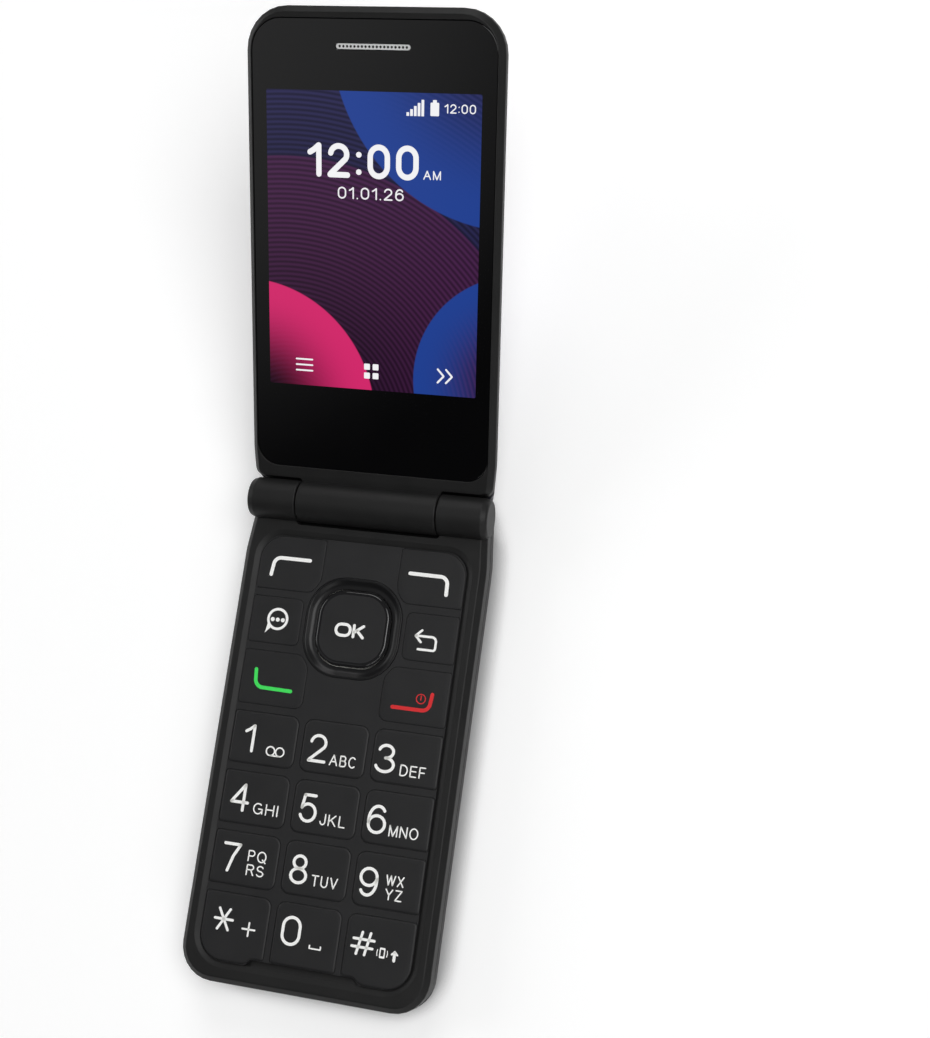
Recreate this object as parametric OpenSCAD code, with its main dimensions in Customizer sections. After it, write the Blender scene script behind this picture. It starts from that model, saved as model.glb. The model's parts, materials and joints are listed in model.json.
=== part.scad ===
// Flip phone, lying on its back with the lid on its open stop.
// +X is the width, +Y runs from the keypad's free end to the hinge, +Z points out of the keypad.
// The origin is the middle of the flat back on which the phone rests.

/* [Phone] */
// Width over both halves
phone_w = 54.6; // [53:0.2:60]
// From the hinge axis to the free ends
phone_l = 103.2; // [102:0.2:112]
// Thickness of the keypad half
base_t = 10.6; // [10.5:0.1:13]
// Thickness of the lid half
lid_t = 7.2; // [7:0.1:9]
// Gap between the halves when the phone is closed
closed_gap = 0.3; // [0.25:0.05:0.6]
// Corner radius of the free ends in plan
corner_r = 8; // [6.5:0.5:10]
// Rounding along the edges of both backs
back_edge_r = 5; // [4.2:0.1:5.4]
// Chamfer round the inner faces
inner_chamfer = 1.2; // [0.6:0.1:1.4]
// Amount by which each side narrows towards the hinge
shoulder_w = 1.1; // [0.6:0.1:1.6]
// Length over which each side narrows
shoulder_l = 11; // [9:0.5:14]
// Wall thickness of the mouldings
wall = 1.2; // [1:0.1:1.3]
// Clearance between pieces fitted together
fit = 0.1; // [0.06:0.02:0.14]
// Angle between the halves at the open stop
open_deg = 153.5; // [140:0.5:156]

/* [Hinge] */
// Radius of the centre barrel and the end knuckles
barrel_r = 4.5; // [4.2:0.1:4.7]
// Length of the centre barrel, which belongs to the lid
barrel_l = 31.4; // [28:0.2:33]
// From each side of the phone to the end of its knuckle
knuckle_in = 0.7; // [0.4:0.1:1.8]
// Gap between the centre barrel and each knuckle
barrel_gap = 0.25; // [0.2:0.05:0.4]
// Radial clearance of the keypad half round the centre barrel
barrel_clear = 0.4; // [0.3:0.05:0.5]
// Radial clearance of the lid round the knuckles
knuckle_clear = 0.8; // [0.5:0.1:1]
// Reach of the lid cover past the axis, over the centre barrel
cover_over = 3.4; // [3:0.1:3.8]
// Reach of the lid cover past the axis, over the knuckles
cover_side_over = 1.2; // [0.8:0.1:1.4]
// Rounding of the lid cover at the hinge
cover_end_r = 5.3; // [4.8:0.1:5.6]
// Rounding of the keypad half's back at the hinge
base_end_r = 3.6; // [3:0.1:4.4]
// Radius of the hinge cartridge
cartridge_r = 3; // [2.8:0.1:3.1]
// Radius of the cam shaft
shaft_r = 1.6; // [1.4:0.1:1.7]
// Length of the pivots inside the centre barrel
pivot_l = 5; // [4:0.5:7]
// Radial running clearance of the pivots
running_gap = 0.05; // [0.02:0.01:0.09]

/* [Keypad] */
// Width of the case left beside the keypad
side_rim = 3.9; // [3.7:0.1:4.6]
// From the hinge axis to the opening
opening_near = 7.8; // [7.4:0.1:8.6]
// From the opening to the free end
opening_rim = 4.4; // [4.2:0.1:5.4]
// Corner radius of the opening beside the hinge
opening_near_r = 5; // [4:0.5:6]
// Corner radius of the opening at the free end
opening_far_r = 6; // [5:0.5:7]
// Chamfer round the opening
lip = 0.6; // [0.3:0.1:0.8]
// Width of the thumb recess
recess_w = 25; // [20:0.5:28]
// Length of the thumb recess
recess_l = 1.3; // [1:0.1:1.6]
// Height of the row of soft keys
soft_row = 12.8; // [12.4:0.1:13.2]
// Height of the row of message and back keys
mid_row = 11.8; // [11.4:0.1:12.2]
// Height of the row of call and end keys
call_row = 13.3; // [12.9:0.1:13.7]
// Height of the row of star, zero and hash
last_row = 15; // [14:0.1:16]
// Width of the web between columns
web_x = 1.2; // [1:0.1:1.6]
// Width of the web between rows
web_y = 1.45; // [1.1:0.05:1.8]
// Gap round each key
key_gap = 0.15; // [0.12:0.01:0.2]
// Corner radius of the keys
key_r = 1.8; // [1:0.1:2.4]
// Travel of the keys
key_travel = 0.3; // [0.2:0.05:0.35]
// Half the width of the navigation ring
nav_r = 10.6; // [10.2:0.1:11]
// Half the width of the confirm key
ok_r = 7.9; // [7.4:0.1:8.2]
// Corner radius of the navigation ring
nav_corner_r = 8.3; // [7:0.1:9]
// From the hinge axis to the middle of the ring
nav_y = 26.3; // [25.9:0.1:26.7]
// Web between the ring and the keys beside it
nav_web = 0.5; // [0.4:0.05:0.7]
// Depth of the web plate below the case
plate_sink = 0.4; // [0.3:0.05:0.5]
// Thickness of the web plate
plate_t = 0.7; // [0.5:0.05:0.8]
// Length of the volume rocker
volume_l = 16; // [12:0.5:18]
// From the hinge axis to the middle of the volume rocker
volume_y = 24; // [23:0.5:28]
// Height of the volume rocker
volume_h = 2.2; // [1.8:0.1:2.4]
// Reach of the volume rocker out of the side
volume_out = 0.55; // [0.4:0.05:0.8]

/* [Back] */
// Thickness of the battery door
door_t = 1; // [0.8:0.1:1.1]
// Height of the battery door up the sides
door_h = 3.8; // [3.4:0.1:3.9]
// Height of the seam between both cases
seam_z = 6.2; // [6:0.1:6.4]
// From each side of the phone to the battery
battery_side = 8.3; // [8:0.1:10]
// Battery thickness
battery_t = 5; // [4.4:0.1:5]
// From the hinge axis to the battery bay
bay_y = 42.8; // [42.4:0.1:43.4]
// From the battery bay to the free end
bay_end = 6.3; // [6.2:0.1:9]
// Diameter of the headset plug
jack_d = 3.5; // [2.5:0.5:3.5]
// From the hinge axis to the headset jack
jack_y = 34.5; // [33.5:0.5:36]
// From the hinge axis to the charging port
usb_y = 70; // [60:1:85]

/* [Lid] */
// Height of the inner frame
frame_h = 2.8; // [2.6:0.1:3]
// Width of the frame left round the lens
lens_rim = 1.4; // [1.3:0.1:1.8]
// From the hinge axis to the lens
lens_near = 7.8; // [7.4:0.1:8.6]
// From the lens to the free end
lens_far_rim = 2.4; // [2:0.1:3]
// Corner radius of the lens
lens_r = 4.8; // [3:0.2:6]
// Depth of the lens below the frame
lens_sink = 0.2; // [0.15:0.05:0.3]
// Thickness of the lens
lens_t = 0.9; // [0.7:0.1:1]
// From each side of the lid to the picture on the main display
screen_side = 4.45; // [4.3:0.05:7]
// From the hinge axis to the picture
screen_near = 25.9; // [24:0.1:27]
// From the picture to the free end
screen_end = 16.3; // [16:0.1:19]
// Length of the earpiece slot
slot_w = 15.6; // [12:0.2:18]
// Width of the earpiece slot
slot_h = 1.25; // [1:0.05:1.6]
// From the earpiece slot to the free end
slot_end = 7.7; // [7:0.1:8.4]
// Width of the outer display window
window_w = 30.5; // [26:0.1:32]
// Height of the outer display window
window_h = 33.4; // [28:0.1:35]
// From the hinge axis to the middle of the outer window
window_y = 50.8; // [46:0.1:56]
// Half the width of the camera ring
camera_r = 4.6; // [4.2:0.1:4.8]
// Corner radius of the camera ring
camera_corner_r = 3.6; // [2:0.1:4.1]
// Radius of the camera's glass
camera_glass_r = 3; // [2.6:0.1:3.3]
// Radius of the camera's barrel
camera_barrel_r = 2.1; // [1.6:0.1:2.2]
// From the hinge axis to the middle of the camera
camera_y = 7; // [6.8:0.1:7.6]
// Reach of the camera ring out of the cover
camera_out = 0.4; // [0.2:0.05:0.6]

/* [Hidden] */
$fn = 48;

case_black = "#262626";
key_black = "#2d2d2e";
cover_black = "#1c1b20";
glass_black = "#0b0b0d";
metal_grey = "#9a9a9c";
part_black = "#1a1a1a";
display_blue = "#16162a";
board_green = "#1f4a33";

// Anything longer than the phone, for cuts that run right through
far = 300;
// Overlap of a cut with the air outside a face
air = 1;

half_w = phone_w / 2;
axis_y = phone_l / 2;
axis_z = base_t + closed_gap / 2;
base_end = 0.2;
notch_y = 1.6;
notch_half = barrel_l / 2 + barrel_gap;
knuckle_wall = wall;
knuckle_span = phone_w - 2 * knuckle_in;
bore_r = cartridge_r + fit;
can_t = 0.6;
key_stub = 2;
bush_r = shaft_r + 0.7;
flex_r = bush_r - 1;
bush_seat = 2.2;
flex_w = 3;
flex_x = -notch_half - bush_seat - flex_w - 4 * fit;
barrel_hollow_r = barrel_r - wall;

// Heights in the keypad half, from the back upwards
tub_z = door_t + 0.15;
tub_floor = 0.8;
floor_z = tub_z + tub_floor;
battery_z = door_t + 0.2;
roof_t = 0.6;
roof_z = battery_z + battery_t + fit;
board_z = roof_z + roof_t;
board_t = 0.8;
board_top = board_z + board_t;
sheet_t = 0.12;
dome_h = 0.28;
dome_top = board_top + sheet_t + dome_h;
plate_top = base_t - plate_sink;
plate_z = plate_top - plate_t;
flange_t = 0.44;
key_z = plate_z - fit - flange_t;
key_top = base_t;
key_edge = 0.3;
mat_t = 0.4;
mat_top = key_z - key_travel - 0.06;
mat_z = mat_top - mat_t;
mat_inset = 0.9;
sheet_inset = 2;

// Places in the keypad, measured from the hinge axis towards the free end
opening_w = phone_w - 2 * side_rim;
opening_far = phone_l - opening_rim;
digit_row = (opening_far - opening_near - soft_row - mid_row - call_row - last_row) / 3;
plate_rim = 0.45;
key_w = (opening_w - 2 * plate_rim - 2 * web_x - 6 * key_gap) / 3;
column_edge = key_w / 2 + key_gap + web_x / 2;
ring_edge = nav_r + 2 * key_gap + nav_web;
ROW_HEIGHTS = [soft_row, mid_row, call_row, digit_row, digit_row, digit_row];
function row_edge(i) = i == 0 ? opening_near : i == 7 ? opening_far : row_edge(i - 1) + ROW_HEIGHTS[i - 1];
function inner_x(row) = row == 1 ? ring_edge - web_x / 2 - key_gap : column_edge;
function key_mid_x(col) = (col - 1) * (key_w + web_x + 2 * key_gap);
function key_mid_y(row) = -(row_edge(row) + row_edge(row + 1)) / 2;
KEY_CELLS = [for (row = [0:6], col = [0:2]) if (row > 2 || col != 1) [col, row]];
NAV_SPOTS = [[0, 0], [nav_r - 1.4, 0], [1.4 - nav_r, 0], [0, nav_r - 1.4], [0, 1.4 - nav_r]];

boss_r = 1.4;
screw_r = 0.7;
head_r = 1.3;
head_t = 0.8;
base_screw_l = 4;
screw_tip = 1;
boss_step = (boss_r + 0.6) * cos(45);
near_boss = [opening_w / 2 - opening_near_r * (1 - cos(45)) + boss_step,
             -opening_near - opening_near_r * (1 - cos(45)) + boss_step];
far_boss = [opening_w / 2 - opening_far_r * (1 - cos(45)) + boss_step,
            -opening_far + opening_far_r * (1 - cos(45)) - boss_step];
BOSSES = [for (side = [-1, 1], spot = [near_boss, far_boss]) [side * spot[0], spot[1]]];

bay_wall = 0.8;
battery_w = phone_w - 2 * battery_side;
bay_w = battery_w + 4 * fit;
bay_far = phone_l - bay_end;
bay_l = bay_far - bay_y;
battery_l = bay_l - 5 * fit;
board_inset = wall + 1.7;
board_near = 9.6;
board_end = 5.7;
board_far = phone_l - board_end;
jack_r = jack_d / 2 + 0.65;
jack_z = board_z - jack_r - 0.05;
jack_l = 13.6;
usb_w = 8;
usb_h = 2.9;
usb_l = 5.6;
usb_z = board_z - usb_h;
volume_z = (seam_z + base_t - wall - volume_h) / 2;
rocker_t = 0.3;
tilt_gap = 0.32;
ring_z = key_z + rocker_t + tilt_gap;
speaker = [12, 15, 3.2];
speaker_side = 8.3;
speaker_xy = [speaker_side + speaker[0] / 2 - half_w, -18];
speaker_slot = [8, 1];
speaker_pitch = 2.4;
motor_r = 5;
motor_h = 3;
motor_side = 6.3;
motor_spot = [half_w - motor_side - motor_r, -34.5];
shield = [25, 17.5, 1.5];
shield_side = 6.3;
shield_spot = [half_w - shield_side - shield[0], -29];
sim = [12, 9, 1.4];
sim_spot = [-8.5, -39.6];
contact_pitch = 3.6;
contact_block = [11, 2, 2.6];
contact_blade = [1, 0.6];
mic = [3, 2.6, 2.2];
mic_x = -11.7;
mic_hole_r = 0.5;
mic_hole_z = seam_z + 1.6;
antenna_block = [22, 3.2, 3];
antenna_x = -6;
ledge_z = door_h + 2 * fit + wall / 2;
flex_t = 0.15;
flex_lap = 2.4;
flex_reach = 4;
flex_tail = board_near + flex_lap;

// Heights in the lid, measured from the hinge axis with the lid closed
lid_z = closed_gap / 2;
lid_top = lid_z + lid_t;
frame_top = lid_z + frame_h;
lens_z = lid_z + lens_sink;
lens_top = lens_z + lens_t;
cover_t = 1;
cover_under = lid_top - cover_t;
display_z = lens_top + 0.05;
display_t = 2;
lid_board_z = display_z + display_t + 0.15;
lid_board_t = 0.6;
lid_board_top = lid_board_z + lid_board_t;
window_z = cover_under + 0.05;
lens_w = phone_w - 2 * lens_rim;
lens_far = phone_l - lens_far_rim;
display_border = 2;
display_tail = 3.4;
lid_screw_in = 7.8;
lid_screw_near = 15.5;
lid_screw_end = 6;
lid_screw_spots = [for (side = [-1, 1], y = [lid_screw_near, lens_far - lid_screw_end])
  [side * (half_w - lid_screw_in), -y]];
screen_w = phone_w - 2 * screen_side;
screen_h = phone_l - screen_end - screen_near;
slot_y = phone_l - slot_end;
receiver = [15.2, 6];
magnet_r = 2.4;
magnet_t = 1.2;
magnet_x = 12;
camera_box = 6.4;
lens_glass_t = 0.6;
lid_board_gap = 1;
lid_board_free = slot_y - receiver[1] / 2 - lid_board_gap;
lid_board_near = barrel_r + knuckle_clear + wall;
hollow_end = 3.2;

// ---- shapes shared by several pieces ----

// Rectangle with round corners, between two corners
module rounded_box(x0, x1, y0, y1, r) {
  translate([x0 + r, y0]) square([x1 - x0 - 2 * r, y1 - y0]);
  translate([x0, y0 + r]) square([x1 - x0, y1 - y0 - 2 * r]);
  for (x = [x0 + r, x1 - r], y = [y0 + r, y1 - r]) translate([x, y]) circle(r);
}

// Outline of either half in plan, with its free end at -phone_l and its hinge end at end
module half_plan(inset, end) {
  hw = half_w - inset;
  r = corner_r - inset;
  free = -phone_l + inset;
  polygon([[-hw + r, free], [hw - r, free], [hw, free + r], [hw, -shoulder_l], [hw - shoulder_w, end],
           [-hw + shoulder_w, end], [-hw, -shoulder_l], [-hw, free + r]]);
  for (x = [-hw + r, hw - r]) translate([x, free + r]) circle(r);
}

// Section of a shell: round lower corners r0 and r1, chamfered upper corners
module tray_section(a0, a1, h0, h1, r0, r1, chamfer) {
  polygon([[a0 + r0, h0], [a1 - r1, h0], [a1, h0 + r1], [a1, h1 - chamfer], [a1 - chamfer, h1],
           [a0 + chamfer, h1], [a0, h1 - chamfer], [a0, h0 + r0]]);
  translate([a0 + r0, h0 + r0]) circle(r0);
  translate([a1 - r1, h0 + r1]) circle(r1);
}

// Sections drawn in X and Z, or in Y and Z, and run right through
module along_y() {
  translate([0, far / 2, 0]) rotate([90, 0, 0]) linear_extrude(far) children();
}
module along_x() {
  translate([-far / 2, 0, 0]) rotate([90, 0, 90]) linear_extrude(far) children();
}

// Flat layer between two heights
module layer(z0, z1) {
  translate([0, 0, z0]) linear_extrude(z1 - z0) children();
}

// Cylinder along X between two places, on the hinge axis of the lid
module axle(r, x0, x1) {
  translate([x0, 0, 0]) rotate([0, 90, 0]) cylinder(r = r, h = x1 - x0);
}

// The half cylinder of space in which the other half's barrel or knuckles turn
module sweep(r, x0, x1, reach) {
  axle(r, x0, x1);
  translate([x0, reach, -far / 2]) cube([x1 - x0, far, far]);
}

// Keypad half as one solid, shrunk by inset, with the space for the centre barrel taken out
module base_form(inset) {
  difference() {
    intersection() {
      layer(inset, base_t) half_plan(inset, 0);
      along_y() tray_section(inset - half_w, half_w - inset, inset, base_t, back_edge_r - inset,
                             back_edge_r - inset, inner_chamfer);
      along_x() tray_section(inset - phone_l, -base_end - inset, inset, base_t, back_edge_r - inset,
                             base_end_r - inset, inner_chamfer);
    }
    translate([0, 0, axis_z])
      sweep(barrel_r + barrel_clear + inset, -notch_half - inset, notch_half + inset, -notch_y - inset);
  }
}

// Lid as one solid, shrunk by inset, in its closed place with the hinge axis at the origin
module lid_form(inset) {
  difference() {
    intersection() {
      layer(lid_z, lid_top - inset) half_plan(inset, cover_over);
      along_y() mirror([0, 1]) tray_section(inset - half_w, half_w - inset, inset - lid_top, -lid_z,
                                            back_edge_r - inset, back_edge_r - inset, inner_chamfer);
      along_x() mirror([0, 1]) tray_section(inset - phone_l, cover_over - inset, inset - lid_top, -lid_z,
                                            back_edge_r - inset, cover_end_r - inset, lid_z);
    }
    for (side = [0, 1]) mirror([side, 0, 0])
      sweep(barrel_r + knuckle_clear + inset, barrel_l / 2 - inset, far, cover_side_over - inset);
  }
}

// Keypad opening, shrunk by inset, with the step of the thumb recess
module opening_plan(inset) {
  hw = opening_w / 2 - inset;
  near = -opening_near - inset;
  free = -opening_far + inset;
  r_near = opening_near_r - inset;
  r_far = opening_far_r - inset;
  difference() {
    union() {
      polygon([[-hw + r_near, near], [-hw, near - r_near], [-hw, free + r_far], [-hw + r_far, free],
               [hw - r_far, free], [hw, free + r_far], [hw, near - r_near], [hw - r_near, near]]);
      for (side = [-1, 1]) {
        translate([side * (hw - r_near), near - r_near]) circle(r_near);
        translate([side * (hw - r_far), free + r_far]) circle(r_far);
      }
    }
    thumb_step(inset);
  }
}

// Trapezoid by which the thumb recess steps into the keypad
module thumb_step(grow) {
  base_half = recess_w / 2 + grow;
  top_half = base_half - recess_l;
  foot = -opening_far - grow;
  head = -opening_far + recess_l + grow;
  polygon([[-base_half - grow, foot], [base_half + grow, foot], [top_half, head], [-top_half, head]]);
}

// Rounded square of the navigation keys
module nav_plan(r) {
  translate([0, -nav_y]) rounded_box(-r, r, -r, r, nav_corner_r + r - nav_r);
}

// Outline of the key in one cell, grown by grow, and kept edge inside the keypad opening
module key_plan(col, row, grow, edge) {
  gap_y = web_y / 2 + key_gap - grow;
  gap_x = web_x / 2 + key_gap - grow;
  x0 = col == 0 ? -half_w : col == 1 ? -column_edge + gap_x : inner_x(row) + gap_x;
  x1 = col == 2 ? half_w : col == 1 ? column_edge - gap_x : -inner_x(row) - gap_x;
  y0 = row == 6 ? -phone_l : -row_edge(row + 1) + gap_y;
  y1 = row == 0 ? 0 : -row_edge(row) - gap_y;
  difference() {
    intersection() {
      rounded_box(x0, x1, y0, y1, key_r + grow);
      opening_plan(edge);
    }
    nav_plan(ring_edge - grow);
  }
}

// One key: flange below the web plate, body and a smaller top
module key_cap(col, row) {
  edge = plate_rim + key_gap;
  layer(key_z, key_z + flange_t) key_plan(col, row, web_y / 4, edge + fit);
  layer(key_z + flange_t, key_top - key_edge) key_plan(col, row, 0, edge);
  layer(key_top - key_edge, key_top) key_plan(col, row, -key_edge, edge + key_edge);
}

// Places a piece of the keypad half, or of the lid at its open stop
module in_base() {
  translate([0, axis_y, 0]) children();
}
module on_axis() {
  translate([0, axis_y, axis_z]) children();
}
module in_lid() {
  on_axis() rotate([-open_deg, 0, 0]) children();
}

// ---- keypad half ----

module front_case() {
  color(case_black) in_base() {
    difference() {
      union() {
        intersection() {
          base_form(0);
          layer(seam_z, base_t) square(far, center = true);
        }
        translate([0, 0, axis_z]) for (side = [0, 1]) mirror([side, 0, 0])
          axle(barrel_r, notch_half, knuckle_span / 2);
      }
      difference() {
        layer(seam_z - air, base_t - wall) half_plan(wall, -barrel_r - barrel_clear - wall);
        for (spot = BOSSES) translate([spot[0], spot[1], 0]) cylinder(r = boss_r, h = base_t);
      }
      for (spot = BOSSES) translate([spot[0], spot[1], 0])
        cylinder(r = screw_r + fit / 2, h = key_z - wall);
      layer(0, far) opening_plan(0);
      layer(base_t - lip, base_t + air) opening_plan(-lip);
      thumb_scoop();
      translate([0, 0, axis_z]) for (side = [0, 1]) mirror([side, 0, 0])
        axle(bore_r, notch_half - air, knuckle_span / 2 - knuckle_wall);
      flex_slot();
      volume_slot();
      usb_hole();
      jack_hole(jack_r + fit);
      translate([mic_x, air - phone_l + 2 * wall, mic_hole_z]) rotate([90, 0, 0])
        cylinder(r = mic_hole_r, h = 2 * wall + 2 * air);
    }
  }
}

// Lowered ledge on the thumb step
module thumb_scoop() {
  layer(base_t - lip, base_t + air)
    translate([-recess_w / 2 + air, -opening_far - lip]) square([recess_w - 2 * air, recess_l + lip + air]);
}

// Slot through which the flat cable reaches the left knuckle
module flex_slot() {
  translate([flex_x - 2 * fit, -barrel_r * 3, board_top - fit]) cube([flex_w + 4 * fit, barrel_r * 3, 0.5]);
}

module volume_slot() {
  translate([-half_w - air, -volume_y - volume_l / 2 - key_gap, volume_z - key_gap])
    cube([wall + 2 * air, volume_l + 2 * key_gap, volume_h + 2 * key_gap]);
}

module usb_hole() {
  translate([-half_w - air, -usb_y - usb_w / 2 - fit, usb_z - fit])
    cube([usb_l, usb_w + 2 * fit, usb_h + fit]);
}

module rear_case() {
  door_gap = 0.15;
  tub_inset = door_t + door_gap;
  color(case_black) in_base() difference() {
    union() {
      intersection() {
        base_form(0);
        layer(door_h + fit, seam_z) square(far, center = true);
      }
      intersection() {
        base_form(tub_inset);
        layer(tub_z, seam_z) square(far, center = true);
      }
      translate([-bay_w / 2 - bay_wall, -bay_far - bay_wall, tub_z])
        cube([bay_w + 2 * bay_wall, bay_l + 2 * bay_wall, board_z - tub_z]);
    }
    difference() {
      union() {
        intersection() {
          base_form(tub_inset + bay_wall);
          layer(floor_z, seam_z + air) square(far, center = true);
        }
        layer(ledge_z, seam_z + air) half_plan(wall, -barrel_r - barrel_clear);
      }
      translate([-bay_w / 2 - bay_wall, -bay_far - bay_wall, 0])
        cube([bay_w + 2 * bay_wall, bay_l + 2 * bay_wall, board_z]);
      for (spot = BOSSES) corner_block(spot);
    }
    translate([-bay_w / 2, -bay_far, 0]) cube([bay_w, bay_l, roof_z]);
    for (spot = BOSSES) translate([spot[0], spot[1], 0]) {
      cylinder(r = screw_r + fit, h = far);
      cylinder(r = head_r + fit, h = door_h + fit);
    }
    speaker_slots();
    translate([sim_spot[0] - 3 * fit, sim_spot[1] - fit, 0])
      cube([sim[0] + 6 * fit, sim[1] + 3 * fit, floor_z + air]);
    contact_slots();
    jack_hole(jack_r + fit);
    usb_hole();
  }
}

// Seat of one case screw, joined to the corner of the case
module corner_block(spot) {
  reach = 10;
  x = spot[0] > 0 ? 0 : -reach;
  y = spot[1] > -phone_l / 2 ? 0 : -reach;
  translate([spot[0], spot[1], door_h + fit]) {
    cylinder(r = boss_r, h = seam_z - door_h);
    translate([x, y, 0]) cube([reach, reach, seam_z - door_h]);
  }
}

// Slots in front of the loudspeaker, through the case and the door
module speaker_slots() {
  x = speaker_xy[0] - speaker_slot[0] / 2;
  y = speaker_xy[1] - speaker_slot[1] / 2;
  for (i = [-1.5:1:1.5]) translate([x, y + i * speaker_pitch, -air])
    cube([speaker_slot[0], speaker_slot[1], floor_z + air + fit]);
}

module contact_slots() {
  slot_w = contact_blade[0] + 4 * fit;
  for (i = [-1:1]) translate([i * contact_pitch - slot_w / 2, -bay_y - air, battery_z + 1])
    cube([slot_w, bay_wall + 2 * air, battery_t - 2]);
}

module jack_hole(r) {
  translate([-half_w - air, -jack_y, jack_z]) rotate([0, 90, 0]) cylinder(r = r, h = jack_l + air);
}

module battery_door() {
  color(cover_black) in_base() difference() {
    intersection() {
      base_form(0);
      layer(0, door_h) square(far, center = true);
    }
    intersection() {
      base_form(door_t);
      layer(door_t, door_h + air) square(far, center = true);
    }
    speaker_slots();
    jack_hole(jack_r + 3 * fit);
  }
}

module battery_pack() {
  color(metal_grey) in_base() translate([-battery_w / 2, -bay_far + 2 * fit, battery_z])
    cube([battery_w, battery_l, battery_t]);
}

module battery_contacts() {
  z = board_z - contact_block[2];
  color("#b08d3c") in_base() {
    translate([-contact_block[0] / 2, -bay_y + bay_wall + fit, z]) cube(contact_block);
    for (i = [-1:1]) translate([i * contact_pitch - contact_blade[0] / 2, -bay_y - 1.5 * fit, z])
      cube([contact_blade[0], bay_wall + contact_block[1], contact_blade[1]]);
  }
}

module main_board() {
  color(board_green) in_base() layer(board_z, board_top) difference() {
    intersection() {
      half_plan(board_inset, 0);
      translate([-half_w, -board_far]) square([phone_w, board_far - board_near]);
    }
    for (spot = BOSSES) translate(spot) circle(boss_r + 3 * fit);
  }
}

module board_shield() {
  color(metal_grey) in_base() translate([shield_spot[0], shield_spot[1], board_z - shield[2]]) cube(shield);
}

module sim_socket() {
  color(metal_grey) in_base() translate([sim_spot[0], sim_spot[1], board_z - sim[2]]) cube(sim);
}

module dome_sheet() {
  color("#c9c9c4") in_base() {
    layer(board_top, board_top + sheet_t) difference() {
      opening_plan(sheet_inset);
      translate([flex_x - fit, -flex_tail - fit]) square([flex_w + 2 * fit, flex_tail]);
    }
    for (cell = KEY_CELLS) translate([key_mid_x(cell[0]), key_mid_y(cell[1]), board_top + sheet_t])
      dome();
    for (spot = NAV_SPOTS) translate([spot[0], spot[1] - nav_y, board_top + sheet_t]) dome();
  }
}
module dome() {
  cylinder(r1 = 1.9, r2 = 1.1, h = dome_h);
}

module keypad_mat() {
  color("#3a3a3c") in_base() {
    layer(mat_z, mat_top) opening_plan(mat_inset);
    for (cell = KEY_CELLS) translate([key_mid_x(cell[0]), key_mid_y(cell[1]), dome_top]) nub();
    for (spot = NAV_SPOTS) translate([spot[0], spot[1] - nav_y, dome_top]) nub();
  }
}
module nub() {
  cylinder(r = 1, h = mat_z - dome_top);
}

module keypad_plate() {
  under = base_t - wall;
  flange_reach = 0.9;
  color(key_black) in_base() {
    layer(plate_z, plate_top) difference() {
      opening_plan(fit);
      for (cell = KEY_CELLS) key_plan(cell[0], cell[1], key_gap, plate_rim);
      nav_plan(nav_r + key_gap);
    }
    layer(key_z, plate_z) difference() {
      opening_plan(fit);
      opening_plan(plate_rim);
    }
    layer(key_z, under) difference() {
      opening_plan(-flange_reach);
      opening_plan(fit * 1.5);
      for (spot = BOSSES) translate(spot) circle(boss_r + fit);
    }
  }
}

module key_soft_left() { color(key_black) in_base() key_cap(0, 0); }
module key_soft_right() { color(key_black) in_base() key_cap(2, 0); }
module key_message() { color(key_black) in_base() key_cap(0, 1); }
module key_back() { color(key_black) in_base() key_cap(2, 1); }
module key_call() { color(key_black) in_base() key_cap(0, 2); }
module key_end() { color(key_black) in_base() key_cap(2, 2); }
module key_1() { color(key_black) in_base() key_cap(0, 3); }
module key_2() { color(key_black) in_base() key_cap(1, 3); }
module key_3() { color(key_black) in_base() key_cap(2, 3); }
module key_4() { color(key_black) in_base() key_cap(0, 4); }
module key_5() { color(key_black) in_base() key_cap(1, 4); }
module key_6() { color(key_black) in_base() key_cap(2, 4); }
module key_7() { color(key_black) in_base() key_cap(0, 5); }
module key_8() { color(key_black) in_base() key_cap(1, 5); }
module key_9() { color(key_black) in_base() key_cap(2, 5); }
module key_star() { color(key_black) in_base() key_cap(0, 6); }
module key_0() { color(key_black) in_base() key_cap(1, 6); }
module key_hash() { color(key_black) in_base() key_cap(2, 6); }

module nav_rocker() {
  color("#d8d8d4") in_base() layer(key_z, key_z + rocker_t) difference() {
    nav_plan(nav_r - 2 * fit);
    nav_plan(ok_r + 4 * fit);
  }
}

module nav_ring() {
  color(glass_black) in_base() {
    layer(ring_z, base_t - fit) difference() {
      nav_plan(nav_r);
      nav_plan(ok_r + 2 * fit);
    }
    layer(base_t - fit, base_t + fit) difference() {
      nav_plan(nav_r - key_edge);
      nav_plan(ok_r + 2 * fit + key_edge);
    }
  }
}

module key_ok() {
  color(key_black) in_base() {
    layer(key_z, key_top - key_edge) nav_plan(ok_r);
    layer(key_top - key_edge, key_top) nav_plan(ok_r - key_edge);
  }
}

module volume_key() {
  stem = wall + volume_out + 3 * fit;
  ear = 0.8;
  ear_t = 0.6;
  color(case_black) in_base() translate([-half_w - volume_out, -volume_y, volume_z]) {
    translate([0, -volume_l / 2, 0]) cube([stem, volume_l, volume_h]);
    translate([stem, -volume_l / 2 - ear, 0]) cube([ear_t, volume_l + 2 * ear, volume_h]);
  }
}

module usb_port() {
  sheet = 0.3;
  color(metal_grey) in_base() difference() {
    translate([-half_w + 4 * fit, -usb_y - usb_w / 2, usb_z]) cube([usb_l, usb_w, usb_h]);
    translate([-half_w - air, -usb_y - usb_w / 2 + sheet, usb_z + sheet])
      cube([usb_l + air - sheet, usb_w - 2 * sheet, usb_h - 2 * sheet]);
  }
}

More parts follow.
